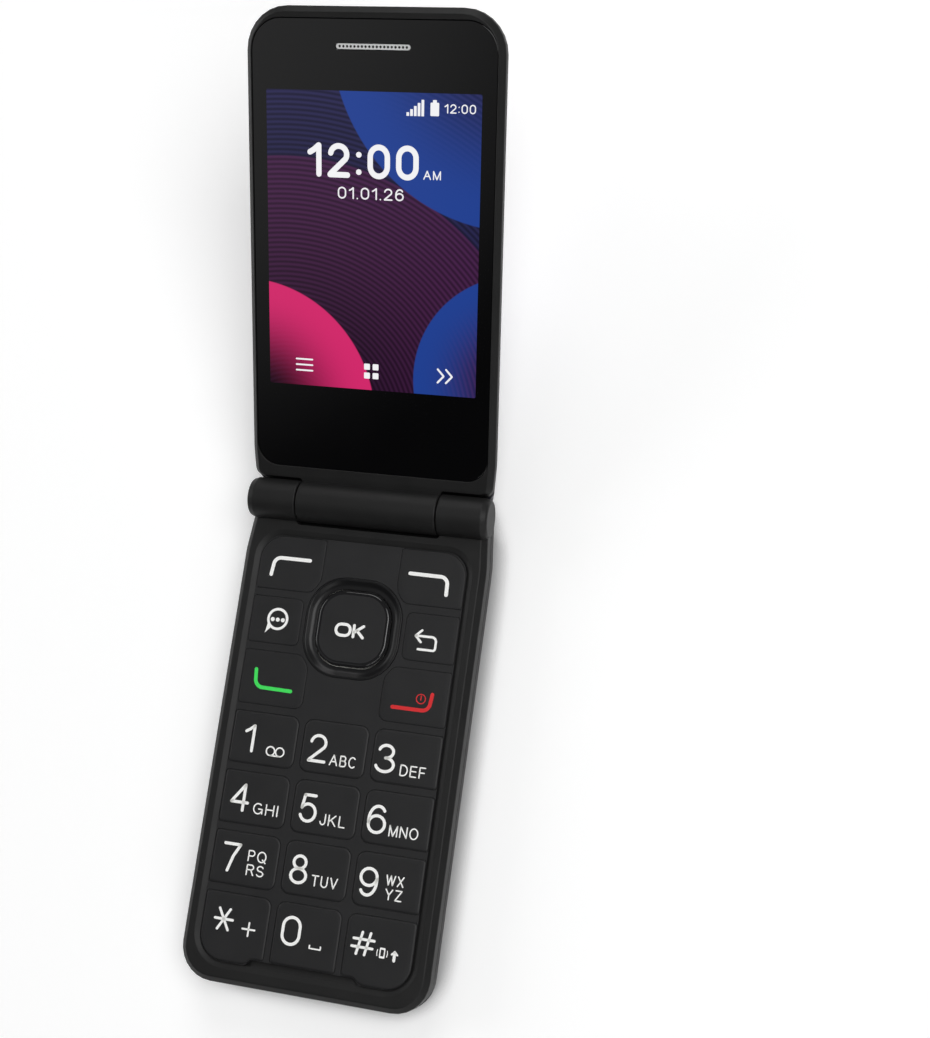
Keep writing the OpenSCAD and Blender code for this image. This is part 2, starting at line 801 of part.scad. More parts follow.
module headset_jack() {
  color(part_black) in_base() difference() {
    translate([-half_w + 4 * fit, -jack_y, jack_z]) rotate([0, 90, 0])
      cylinder(r = jack_r, h = jack_l - 6 * fit);
    translate([-half_w - air, -jack_y, jack_z]) rotate([0, 90, 0])
      cylinder(r = jack_d / 2 + fit / 2, h = jack_l - air);
  }
}

module loudspeaker() {
  x = speaker_xy[0] - speaker[0] / 2;
  y = speaker_xy[1] - speaker[1] / 2;
  color(part_black) in_base() translate([x, y, floor_z]) cube(speaker);
}

module vibration_motor() {
  color(metal_grey) in_base() translate([motor_spot[0], motor_spot[1], floor_z])
    cylinder(r = motor_r, h = motor_h);
}

module microphone() {
  color(metal_grey) in_base() translate([mic_x - mic[0] / 2, -phone_l + wall + 3 * fit, seam_z + 3 * fit])
    cube(mic);
}

module antenna() {
  color("#8a6a3a") in_base() translate([antenna_x, -phone_l + wall + 4 * fit, ledge_z + fit])
    cube(antenna_block);
}

module base_screws() {
  head_z = door_h + fit - head_t;
  color(metal_grey) in_base() for (spot = BOSSES) translate([spot[0], spot[1], head_z]) {
    cylinder(r = head_r, h = head_t);
    cylinder(r = screw_r, h = base_screw_l);
  }
}

// ---- hinge ----

module hinge_cartridge() {
  x0 = notch_half + 1.5 * fit;
  x1 = knuckle_span / 2 - knuckle_wall - fit;
  color(metal_grey) on_axis() difference() {
    axle(cartridge_r, x0, x1);
    axle(cartridge_r - can_t, x0 + wall, x1 - can_t);
    axle(shaft_r + running_gap, x0 - air, x0 + wall + air);
  }
}

// Helical spring as one swept tube
module hinge_spring() {
  wire_r = 0.24;
  coil_r = (shaft_r + cartridge_r - can_t) / 2;
  turns = 5;
  steps = 16;
  sides = 6;
  count = turns * steps;
  x0 = notch_half + wall + 5 * fit;
  pitch = (knuckle_span / 2 - knuckle_wall - 1.2 - x0) / turns;
  points = [for (i = [0:count], j = [0:sides - 1])
    let (turn = 360 * i / steps, side = 360 * j / sides, r = coil_r + wire_r * cos(side))
    [x0 + pitch * i / steps + wire_r * sin(side), r * cos(turn), r * sin(turn)]];
  skin = [for (i = [0:count - 1], j = [0:sides - 1])
    let (a = i * sides + j, b = i * sides + (j + 1) % sides) [a, b, b + sides, a + sides]];
  ends = [[for (j = [sides - 1:-1:0]) j], [for (j = [0:sides - 1]) count * sides + j]];
  color(metal_grey) on_axis() polyhedron(points = points, faces = concat(skin, ends));
}

module hinge_shaft() {
  x0 = barrel_l / 2 - pivot_l;
  half = shaft_r * 1.3;
  color(metal_grey) in_lid() {
    axle(shaft_r, x0 - key_stub, knuckle_span / 2 - knuckle_wall - fit - can_t - 3 * fit);
    translate([x0 - key_stub, -half, -half]) cube([key_stub - fit, 2 * half, 2 * half]);
  }
}

module hinge_bush() {
  x0 = -notch_half - bush_seat;
  color("#6b6b6e") on_axis() difference() {
    union() {
      axle(cartridge_r, x0, -notch_half - 1.5 * fit);
      axle(bush_r, x0, -barrel_l / 2 + pivot_l);
    }
    axle(flex_r + 2 * fit, x0 - air, 0);
  }
}

// Rolled cable in the hinge, with its flat tail on the main board
module hinge_flex() {
  color("#a8641e") {
    on_axis() axle(flex_r, flex_x, flex_reach - barrel_l / 2 + pivot_l);
    in_base() translate([flex_x, -flex_tail, board_top]) cube([flex_w, flex_tail, flex_t]);
    in_base() translate([flex_x, -flex_t, board_top])
      cube([flex_w, flex_t, axis_z - flex_r - board_top + flex_t]);
  }
}

// ---- lid ----

module lens_plan(inset) {
  rounded_box(inset - lens_w / 2, lens_w / 2 - inset, inset - lens_far, -lens_near - inset, lens_r - inset);
}

module display_plan(grow) {
  x = screen_w / 2 + display_border + grow;
  y0 = -screen_near - screen_h - display_border - grow;
  y1 = -screen_near + display_tail + grow;
  translate([-x, y0]) square([2 * x, y1 - y0]);
}

module slot_plan(grow) {
  r = slot_h / 2 + grow;
  translate([0, -slot_y]) rounded_box(-slot_w / 2 - grow, slot_w / 2 + grow, -r, r, r * 0.99);
}

module lid_frame() {
  color(case_black) in_lid() difference() {
    union() {
      intersection() {
        lid_form(0);
        layer(lid_z, frame_top) square(far, center = true);
      }
      axle(barrel_r, -barrel_l / 2, barrel_l / 2);
    }
    layer(-air, lens_top) lens_plan(-fit);
    layer(0, far) display_plan(fit);
    layer(0, far) receiver_plan(fit);
    axle(barrel_hollow_r, pivot_l - barrel_l / 2, barrel_l / 2 - pivot_l);
    axle(shaft_r + fit / 2, 0, barrel_l);
    axle(bush_r + running_gap, -barrel_l, 0);
    for (spot = lid_screw_spots) translate([spot[0], spot[1], 0]) {
      cylinder(r = screw_r + fit, h = far);
      cylinder(r = head_r + fit, h = lens_top + head_t);
    }
  }
}

module lid_cover() {
  color(cover_black) in_lid() difference() {
    intersection() {
      lid_form(0);
      layer(frame_top, lid_top) square(far, center = true);
    }
    difference() {
      intersection() {
        lid_form(wall);
        layer(frame_top - air, cover_under) translate([0, -far / 2 - hollow_end])
          square(far, center = true);
      }
      for (spot = lid_screw_spots) translate([spot[0], spot[1], 0]) cylinder(r = boss_r, h = lid_top);
    }
    for (spot = lid_screw_spots) translate([spot[0], spot[1], 0])
      cylinder(r = screw_r + fit / 2, h = cover_under);
    axle(barrel_r + fit, -barrel_l, barrel_l);
    layer(frame_top, far) outer_window_plan(-fit);
    layer(frame_top, far) camera_plan(camera_r + fit);
  }
}

module outer_window_plan(inset) {
  w = window_w / 2 - inset;
  h = window_h / 2 - inset;
  translate([0, -window_y]) rounded_box(-w, w, -h, h, 1.6 - inset);
}

module camera_plan(r) {
  translate([0, -camera_y]) rounded_box(-r, r, -r, r, camera_corner_r + r - camera_r);
}

module display_window() {
  color(glass_black) in_lid() layer(lens_z, lens_top) difference() {
    lens_plan(0);
    slot_plan(fit);
  }
}

module display_module() {
  color(display_blue) in_lid() layer(display_z, display_z + display_t) display_plan(0);
}

module earpiece_grille() {
  color("#e6e6e6") in_lid() layer(lens_z + fit, lens_top) slot_plan(0);
}

module receiver_plan(grow) {
  translate([0, -slot_y]) square([receiver[0] + 2 * grow, receiver[1] + 2 * grow], center = true);
}

module earpiece_receiver() {
  color(part_black) in_lid() layer(lens_top, lid_board_z) receiver_plan(0);
}

module lid_board() {
  color(board_green) in_lid() layer(lid_board_z, lid_board_top) difference() {
    intersection() {
      half_plan(wall + 1.6, 0);
      translate([-half_w, -lid_board_free]) square([phone_w, lid_board_free - lid_board_near]);
    }
    for (spot = lid_screw_spots) translate(spot) circle(boss_r + 3 * fit);
  }
}

module outer_display() {
  color(display_blue) in_lid() layer(lid_board_top, window_z) outer_window_plan(0.8);
}

module outer_window() {
  color(glass_black) in_lid() layer(window_z, lid_top) outer_window_plan(0);
}

module camera_ring() {
  color(glass_black) in_lid() difference() {
    layer(cover_under - 0.4, lid_top + camera_out) camera_plan(camera_r);
    translate([0, -camera_y, 0]) cylinder(r = camera_barrel_r + 2 * fit, h = far);
    translate([0, -camera_y, cover_under + 2 * fit]) cylinder(r = camera_glass_r + fit, h = far);
  }
}

module camera_window() {
  color(glass_black) in_lid() translate([0, -camera_y, cover_under + 2 * fit])
    cylinder(r = camera_glass_r, h = lens_glass_t);
}

module camera_module() {
  color(part_black) in_lid() translate([0, -camera_y, lid_board_top]) {
    translate([-camera_box / 2, -camera_box / 2, 0])
      cube([camera_box, camera_box, cover_under - 5 * fit - lid_board_top]);
    cylinder(r = camera_barrel_r, h = cover_under + fit - lid_board_top);
  }
}

module lid_magnet() {
  color(metal_grey) in_lid() translate([magnet_x, -slot_y, frame_top])
    cylinder(r = magnet_r, h = magnet_t);
}

module lid_screws() {
  color(metal_grey) in_lid() for (spot = lid_screw_spots) translate([spot[0], spot[1], lens_top + fit]) {
    cylinder(r = head_r, h = head_t - fit);
    cylinder(r = screw_r, h = cover_under - lens_top - screw_tip);
  }
}

front_case();
rear_case();
battery_door();
battery_pack();
battery_contacts();
main_board();
board_shield();
sim_socket();
dome_sheet();
keypad_mat();
keypad_plate();
key_soft_left();
key_soft_right();
key_message();
key_back();
key_call();
key_end();
nav_rocker();
nav_ring();
key_ok();
key_1();
key_2();
key_3();
key_4();
key_5();
key_6();
key_7();
key_8();
key_9();
key_star();
key_0();
key_hash();
volume_key();
usb_port();
headset_jack();
loudspeaker();
vibration_motor();
microphone();
antenna();
base_screws();
hinge_cartridge();
hinge_spring();
hinge_shaft();
hinge_bush();
hinge_flex();
lid_frame();
lid_cover();
display_window();
display_module();
earpiece_grille();
earpiece_receiver();
lid_board();
outer_display();
outer_window();
camera_ring();
camera_window();
camera_module();
lid_magnet();
lid_screws();
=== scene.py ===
"""Dresses the flip phone: moulded shells, keypad, hinge, lens, screens and camera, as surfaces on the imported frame."""

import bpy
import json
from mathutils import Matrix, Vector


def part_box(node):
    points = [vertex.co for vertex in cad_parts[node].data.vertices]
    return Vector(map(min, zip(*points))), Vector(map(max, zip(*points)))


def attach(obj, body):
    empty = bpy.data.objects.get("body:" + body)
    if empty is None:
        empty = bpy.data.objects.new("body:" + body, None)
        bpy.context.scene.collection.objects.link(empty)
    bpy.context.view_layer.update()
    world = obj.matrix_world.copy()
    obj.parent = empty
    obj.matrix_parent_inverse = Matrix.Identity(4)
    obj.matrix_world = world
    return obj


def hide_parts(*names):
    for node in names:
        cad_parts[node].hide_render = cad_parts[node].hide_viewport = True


bl_info = {
    "name": "Flip phone",
    "version": (1, 0, 0),
    "blender": (4, 5, 0),
    "location": "3D View > Sidebar > Flip phone",
    "description": "Makes the visible pieces of a hinged phone in surfaces worked out from its sizes",
    "category": "Object",
}

import json
from types import SimpleNamespace

import bmesh
import bpy
import numpy as np
from bpy.props import FloatProperty, FloatVectorProperty, PointerProperty
from mathutils import Matrix, Vector
from mathutils.geometry import delaunay_2d_cdt

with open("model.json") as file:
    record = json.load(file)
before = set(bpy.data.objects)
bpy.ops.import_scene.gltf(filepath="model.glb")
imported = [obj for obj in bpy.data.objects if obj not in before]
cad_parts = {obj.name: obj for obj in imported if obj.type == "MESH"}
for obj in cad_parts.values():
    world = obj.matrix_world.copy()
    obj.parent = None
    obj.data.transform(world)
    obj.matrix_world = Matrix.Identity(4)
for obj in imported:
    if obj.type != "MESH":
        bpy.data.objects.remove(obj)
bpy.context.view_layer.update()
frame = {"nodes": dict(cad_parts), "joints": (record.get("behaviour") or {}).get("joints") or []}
# The hinge axis in millimetres, and the angle by which the open lid leans up from the keypad's plane.
HINGE = next(joint for joint in frame["joints"] if joint["name"] == "lid_hinge")
AXIS = np.array(HINGE["pos_m"]) * 1000
LEAN = np.pi - np.radians(HINGE["range_deg"][1])
CASE_LOW, CASE_HIGH = (np.array(corner) * 1000 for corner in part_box("front_case"))
LENS_HIGH = np.array(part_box("display_window")[1]) * 1000

# ---- sizes and colours ----


def length(name, description, mm):
    """A length that is kept in metres and given in millimetres."""
    return FloatProperty(name=name, description=description, default=mm / 1000, min=0.0, precision=5, unit="LENGTH")


def paint(name, description, code):
    """A colour that is kept linear and given as an sRGB hex code."""
    return FloatVectorProperty(
        name=name, description=description, default=linear(code), size=4, min=0.0, max=1.0, subtype="COLOR"
    )


def linear(code):
    """Turns an sRGB hex code into linear red, green, blue and alpha."""
    value = np.array([int(code[i : i + 2], 16) / 255 for i in (1, 3, 5)])
    value = np.where(value <= 0.04045, value / 12.92, ((value + 0.055) / 1.055) ** 2.4)
    return (*value.tolist(), 1.0)


class PhoneSizes(bpy.types.PropertyGroup):
    """Sizes of the phone's visible shapes."""

    half: length("Half width", "From the middle to each side of the phone", CASE_HIGH[0])
    reach: length("Reach", "From the hinge axis to the free ends", AXIS[1] - CASE_LOW[1])
    deck: length("Deck", "Height of the keypad half's upper face", 10.6)
    wall: length("Case wall", "Wall of the upper case", 1.2)
    cover_wall: length("Cover wall", "Wall of both back covers", 1.0)
    gap: length("Closed gap", "Gap between the halves when closed", 0.3)
    lid: length("Lid thickness", "Thickness of the lid", 7.2)
    corner: length("Corner radius", "Corner radius of the keypad half's free end in plan", 7.4)
    lid_corner: length("Lid corner radius", "Corner radius of the lid's free end in plan", 8.8)
    side_bend: length("Side bend", "Radius of the bend where each side starts to narrow", 30)
    back_round: length("Back rounding", "Rounding along the edges of both backs", 5)
    door_end: length("Battery cover end", "Rounding of the battery cover at the hinge", 3.6)
    lid_end: length("Lid cover end", "Rounding of the lid's cover at the hinge", 5.3)
    lip: length("Lip", "Width of the slope round the keypad opening", 1.3)
    chamfer: length("Inner chamfer", "Chamfer round the inner faces", 1.2)
    taper: length("Taper", "Amount by which each side narrows at the hinge", 1.1)
    shoulder: length("Shoulder", "Length over which each side narrows", 11)
    barrel: length("Barrel radius", "Radius of the hinge's barrel and knuckles", 4.5)
    hinge_gap: length("Hinge gap", "Gap between the knuckles and the lid", 0.3)
    notch_gap: length("Notch gap", "Gap between the centre barrel and the notch in the keypad half", 0.4)
    barrel_half: length("Barrel half", "Half the length of the centre barrel", 15.7)
    end_gap: length("End gap", "Gap between the centre barrel's ends and the knuckles", 0.25)
    over: length("Overlap", "How far the lid's cover passes the hinge axis", 3.4)
    seam: length("Seam", "Height of the seam between both cases", 6.2)
    lid_seam: length("Lid seam", "Depth of the seam between the lid's frame and cover", 2.8)
    cover_up: length("Cover height", "Height of the battery cover up the sides", 3.8)
    opening: length("Opening half", "Half the width of the keypad opening", 23.4)
    opening_near: length("Opening near", "From the hinge axis to the keypad opening", 7.8)
    opening_far: length("Opening far", "From the hinge axis to the opening's far end", 98.8)
    opening_round: length("Opening corner", "Corner radius of the opening at its far end", 6)
    opening_near_round: length("Opening near corner", "Corner radius of the opening at the hinge", 5)
    thumb: length("Thumb recess half", "Half the width of the thumb recess", 12.5)
    thumb_step: length("Thumb recess", "Depth and bevel of the thumb recess", 1.3)
    column: length("Column line", "From the middle to the line between two key columns", 7.85)
    ring_column: length("Ring column line", "The same beside the navigation ring", 10.65)
    web_x: length("Web across", "Half the web between two key columns", 0.75)
    web_y: length("Web along", "Half the web between two key rows", 0.875)
    key_round: length("Key corner", "Corner radius of the keys", 1.8)
    key_soft: length("Key shoulder", "Width of the soft shoulder round each key", 0.32)
    key_gap: length("Key gap", "Gap round the number keys", 0.11)
    upper_gap: length("Upper key gap", "Gap round the keys above them", 0.055)
    ring: length("Ring half", "Half the width of the navigation ring", 10.7)
    ring_round: length("Ring corner", "Corner radius of the navigation ring", 8.4)
    ring_y: length("Ring place", "From the hinge axis to the middle of the ring", 26.4)
    okay: length("Confirm half", "Half the width of the confirm key", 8.15)
    lens: length("Lens half", "Half the width of the lens", LENS_HIGH[0])
    lens_near: length("Lens near", "From the hinge axis to the lens", 7.8)
    lens_far: length("Lens far", "From the hinge axis to the lens's far end", 100.8)
    lens_round: length("Lens corner", "Corner radius of the lens at the hinge end", 4.8)
    lens_top: length("Lens top corner", "Corner radius of the lens at the free end", 6.4)
    lens_drop: length("Lens drop", "How far the lens lies below the lid's inner face", 0.2)
    picture: length("Picture half", "Half the width of the main picture", 22.85)
    picture_near: length("Picture near", "From the hinge axis to the main picture", 25.9)
    picture_far: length("Picture far", "From the hinge axis to the picture's far end", 86.9)
    slot: length("Earpiece half", "Half the length of the earpiece slot", 7.8)
    slot_y: length("Earpiece place", "From the hinge axis to the earpiece slot", 95.5)
    window: length("Window half", "Half the width of the outer window", 15.25)
    window_tall: length("Window half height", "Half the height of the outer window", 16.7)
    window_round: length("Window corner", "Corner radius of the outer window", 1.6)
    window_y: length("Window place", "From the hinge axis to the middle of the outer window", 50.8)
    outer_picture: length("Outer picture half", "Half the side of the outer picture", 13.9)
    rocker: length("Rocker", "How far the volume rocker stands proud of the side", 0.28)
    camera: length("Camera half", "Half the width of the camera's surround", 4.6)
    camera_round: length("Camera corner", "Corner radius of the camera's surround", 3.6)
    camera_well: length("Camera well", "Radius of the well over the camera's glass", 3.1)
    camera_y: length("Camera place", "From the hinge axis to the camera", 7)


class PhoneColours(bpy.types.PropertyGroup):
    """Colours of the phone's finishes."""

    case: paint("Case", "Moulded case", "#1c1c1c")
    keys: paint("Keys", "Painted keys", "#202021")
    cover: paint("Cover", "Pearl lacquer on both backs", "#1f1d27")
    ring: paint("Ring", "Satin black of the navigation ring", "#171718")
    gloss: paint("Gloss", "Polished black of the camera's surround", "#0b0b0c")
    lens: paint("Lens", "Printed black behind the lens", "#070708")
    legend: paint("Legend", "White print on the keys", "#f3f3f1")
    call: paint("Call", "Green print of the call key", "#35cf52")
    hang_up: paint("End", "Red print of the end key", "#cd1a1f")
    night: paint("Night", "Darkest tone of the pictures", "#08070f")
    dusk: paint("Dusk", "Middle tone of the pictures", "#2c2a55")
    plum: paint("Plum", "Warm tone of the pictures", "#5a1f4a")
    blue: paint("Blue", "Cold light of the pictures", "#203f8f")
    rose: paint("Rose", "Warm light of the pictures", "#d0286a")
    floor: paint("Floor", "Floor under the phone", "#fafafa")


def in_millimetres(context):
    """All sizes as plain numbers in millimetres."""
    group = context.scene.phone_sizes
    names = PhoneSizes.__annotations__
    return SimpleNamespace(**{name: getattr(group, name) * 1000 for name in names})


# ---- surfaces ----


def outline(corners, count=8):
    """Closed line round a polygon with corners (x, y, radius). Each corner's arc has its centre on the corner's
    bisector, radius over the sine of half the angle away, and a parameter from 0 to 1 runs along its sweep.
    One point more on each straight, close to the arc, keeps the shading of the flats clean. Half an angle counts
    as 0.01 or more, because an open line turns right back at its ends."""
    corner = np.array(corners, float)
    at, radius = corner[:, :2], np.maximum(corner[:, 2], 0.02)
    ahead = np.roll(at, -1, 0) - at
    size = np.linalg.norm(ahead, axis=1)
    ahead = ahead / size[:, None]
    back = -np.roll(ahead, 1, 0)
    half = np.maximum(np.arccos(np.clip((back * ahead).sum(1), -1, 1)) / 2, 0.01)
    tangent = radius / np.tan(half)
    middle = back + ahead
    middle = middle / np.maximum(np.linalg.norm(middle, axis=1), 1e-9)[:, None]
    centre = at + middle * (radius / np.sin(half))[:, None]
    start = at + back * tangent[:, None] - centre
    sweep = np.sign(ahead[:, 0] * back[:, 1] - ahead[:, 1] * back[:, 0]) * (np.pi - 2 * half)
    angle = np.arctan2(start[:, 1], start[:, 0])[:, None] + sweep[:, None] * np.linspace(0, 1, count)
    arc = centre[:, None] + radius[:, None, None] * np.stack([np.cos(angle), np.sin(angle)], -1)
    spare = np.clip(0.3 * (size - tangent - np.roll(tangent, -1)), 0, 0.12)
    before = at + back * (tangent + np.roll(spare, 1))[:, None]
    after = at + ahead * (tangent + spare)[:, None]
    return np.concatenate([before[:, None], arc, after[:, None]], 1).reshape(-1, 2)


def section(points, count=6):
    """Open line through points (a, b, radius) with its inner corners rounded, as outline does."""
    line = np.array([(*p, 0.0)[:3] for p in points], float)
    line[[0, -1], 2] = 0
    rounded = outline(line, count).reshape(len(line), -1, 2)[1:-1].reshape(-1, 2)
    return np.vstack([line[0, :2], rounded, line[-1, :2]])


def shrunk(corners, depth):
    """The polygon with each edge moved inwards by its own depth: a corner goes to where its moved edges meet,
    and its radius loses the mean depth, or gains it where the outline turns the other way."""
    corner = np.array(corners, float)
    depth = np.broadcast_to(np.asarray(depth, float), len(corner))
    along = np.roll(corner[:, :2], -1, 0) - corner[:, :2]
    along = along / np.linalg.norm(along, axis=1)[:, None]
    inward = np.stack([-along[:, 1], along[:, 0]], 1)
    before, last = np.roll(inward, 1, 0), np.roll(depth, 1)
    turn = before[:, 0] * inward[:, 1] - before[:, 1] * inward[:, 0]
    safe = np.where(np.abs(turn) < 1e-6, 1.0, turn)
    move = np.stack([last * inward[:, 1] - depth * before[:, 1], depth * before[:, 0] - last * inward[:, 0]], 1)
    move = np.where(np.abs(turn)[:, None] < 1e-6, inward * depth[:, None], move / safe[:, None])
    radius = np.maximum(corner[:, 2] - np.sign(turn) * (last + depth) / 2, 0.02)
    return np.column_stack([corner[:, :2] + move, radius])


def box_corners(x0, x1, y0, y1, radius):
    """Corners of a rectangle, anticlockwise."""
    return [(x0, y0, radius), (x1, y0, radius), (x1, y1, radius), (x0, y1, radius)]


def box_about(y, across, along, radius):
    """Corners of a rectangle about a place on the centre line, given by half its width and half its length."""
    return box_corners(-across, across, y - along, y + along, radius)


def rounded_box(x0, x1, y0, y1, radius):
    """Signed distance to a rectangle with round corners: negative inside, in millimetres."""
    middle, half = np.array([x0 + x1, y0 + y1]) / 2, np.array([x1 - x0, y1 - y0]) / 2 - radius

    def distance(p):
        q = np.abs(p - middle) - half
        return np.linalg.norm(np.maximum(q, 0), axis=-1) + np.minimum(q.max(-1), 0) - radius

    return distance


def both(a, b, soft):
    """Larger of two signed distances, with the edge between them rounded over a length."""
    near = np.maximum(soft - np.abs(a - b), 0) / max(soft, 1e-6)
    return np.maximum(a, b) + near * near * soft / 4


def contour(distance, centre, depth, count=144):
    """Closed line at one depth inside a plan shape: along each ray from the centre, halving finds the place
    where the signed distance is minus the depth."""
    turn = np.linspace(0, 2 * np.pi, count, endpoint=False)
    ray = np.stack([np.cos(turn), np.sin(turn)], 1)
    near, far = np.zeros(count), np.full(count, 60.0)
    for _ in range(36):
        middle = (near + far) / 2
        inside = distance(centre + ray * middle[:, None]) < -depth
        near, far = np.where(inside, middle, near), np.where(inside, far, middle)
    return centre + ray * near[:, None]


def raised(line, height):
    """A plan line as points at one height."""
    return np.column_stack([line, np.full(len(line), float(height))])


def skin(rows, wrap=True, close=False):
    """Quads over a grid of points, rows by columns; wrap joins the last column to the first, close the rows."""
    grid = np.array(rows, float)
    m, n = grid.shape[:2]
    i, j = np.meshgrid(np.arange(m if close else m - 1), np.arange(n if wrap else n - 1), indexing="ij")
    a, b = (i + 1) % m, (j + 1) % n
    return grid.reshape(-1, 3), np.stack([i * n + j, i * n + b, a * n + b, a * n + j], -1).reshape(-1, 4)


def cap(height, outer, *holes):
    """Flat face inside one plan line and outside others, cut into even triangles. A line from a triangle's middle
    towards +X crosses each plan line up and down; where the ups less the downs aren't zero, it lies inside."""
    loops = (outer, *holes)
    first = np.concatenate([[0], np.cumsum([len(line) for line in loops])[:-1]])
    tails = np.concatenate([a + np.arange(len(line)) for a, line in zip(first, loops)])
    heads = np.concatenate([a + np.roll(np.arange(len(line)), -1) for a, line in zip(first, loops)])
    points = np.vstack(loops)
    made = delaunay_2d_cdt([Vector(p) for p in points], np.stack([tails, heads], 1).tolist(), [], 1, 1e-7)
    spots, faces = np.array([tuple(v) for v in made[0]]), np.array([tuple(f) for f in made[2]])
    x, y = spots[faces].mean(1).T[:, :, None]
    (x0, y0), (x1, y1) = points[tails].T, points[heads].T
    with np.errstate(divide="ignore", invalid="ignore"):
        crossed = ((y0 > y) != (y1 > y)) & (x < x0 + (y - y0) * (x1 - x0) / (y1 - y0))
    inside = np.add.reduceat(crossed * np.sign(y1 - y0), first, axis=1) != 0
    return raised(spots, height), faces[inside[:, 0] & ~inside[:, 1:].any(1)]


def slab(outer, low, high, *holes):
    """Flat plate between two heights: its rims are upright walls and both faces are flat."""
    walls = [skin([raised(line, low), raised(line, high)]) for line in (outer, *holes)]
    return [*walls, cap(low, outer, *holes), cap(high, outer, *holes)]


def lathe(profile, count=96):
    """Surface of revolution about the X direction: each profile point (x, radius) goes round a circle."""
    turn = np.linspace(0, 2 * np.pi, count, endpoint=False)
    x, r = np.array(profile, float).T[:, :, None]
    return skin(np.stack(np.broadcast_arrays(x, r * np.cos(turn), r * np.sin(turn)), -1))


def dial(profile, centre, count=48):
    """Surface of revolution about an upright line: each profile point (radius, height) goes round a circle."""
    turn = np.linspace(0, 2 * np.pi, count, endpoint=False)
    r, z = np.array(profile, float).T[:, :, None]
    return skin(np.stack(np.broadcast_arrays(centre[0] + r * np.cos(turn), centre[1] + r * np.sin(turn), z), -1))


def circle(centre, radius, count=24):
    """Closed round line."""
    turn = np.linspace(0, 2 * np.pi, count, endpoint=False)
    return np.array(centre) + radius * np.stack([np.cos(turn), np.sin(turn)], 1)


def ribbon(path, width):
    """Outline of a line drawn with a round pen: the path's left side, a half circle, its right side, a half circle."""
    along = np.gradient(path, axis=0)
    along = along / np.maximum(np.linalg.norm(along, axis=1), 1e-9)[:, None]
    left = np.stack([-along[:, 1], along[:, 0]], 1)
    turn = np.linspace(0, np.pi, 7)[1:-1, None]
    end = path[-1] + width / 2 * (np.cos(turn) * left[-1] + np.sin(turn) * along[-1])
    start = path[0] + width / 2 * (-np.cos(turn) * left[0] - np.sin(turn) * along[0])
    return np.vstack([path + left * width / 2, end, (path - left * width / 2)[::-1], start])[::-1]


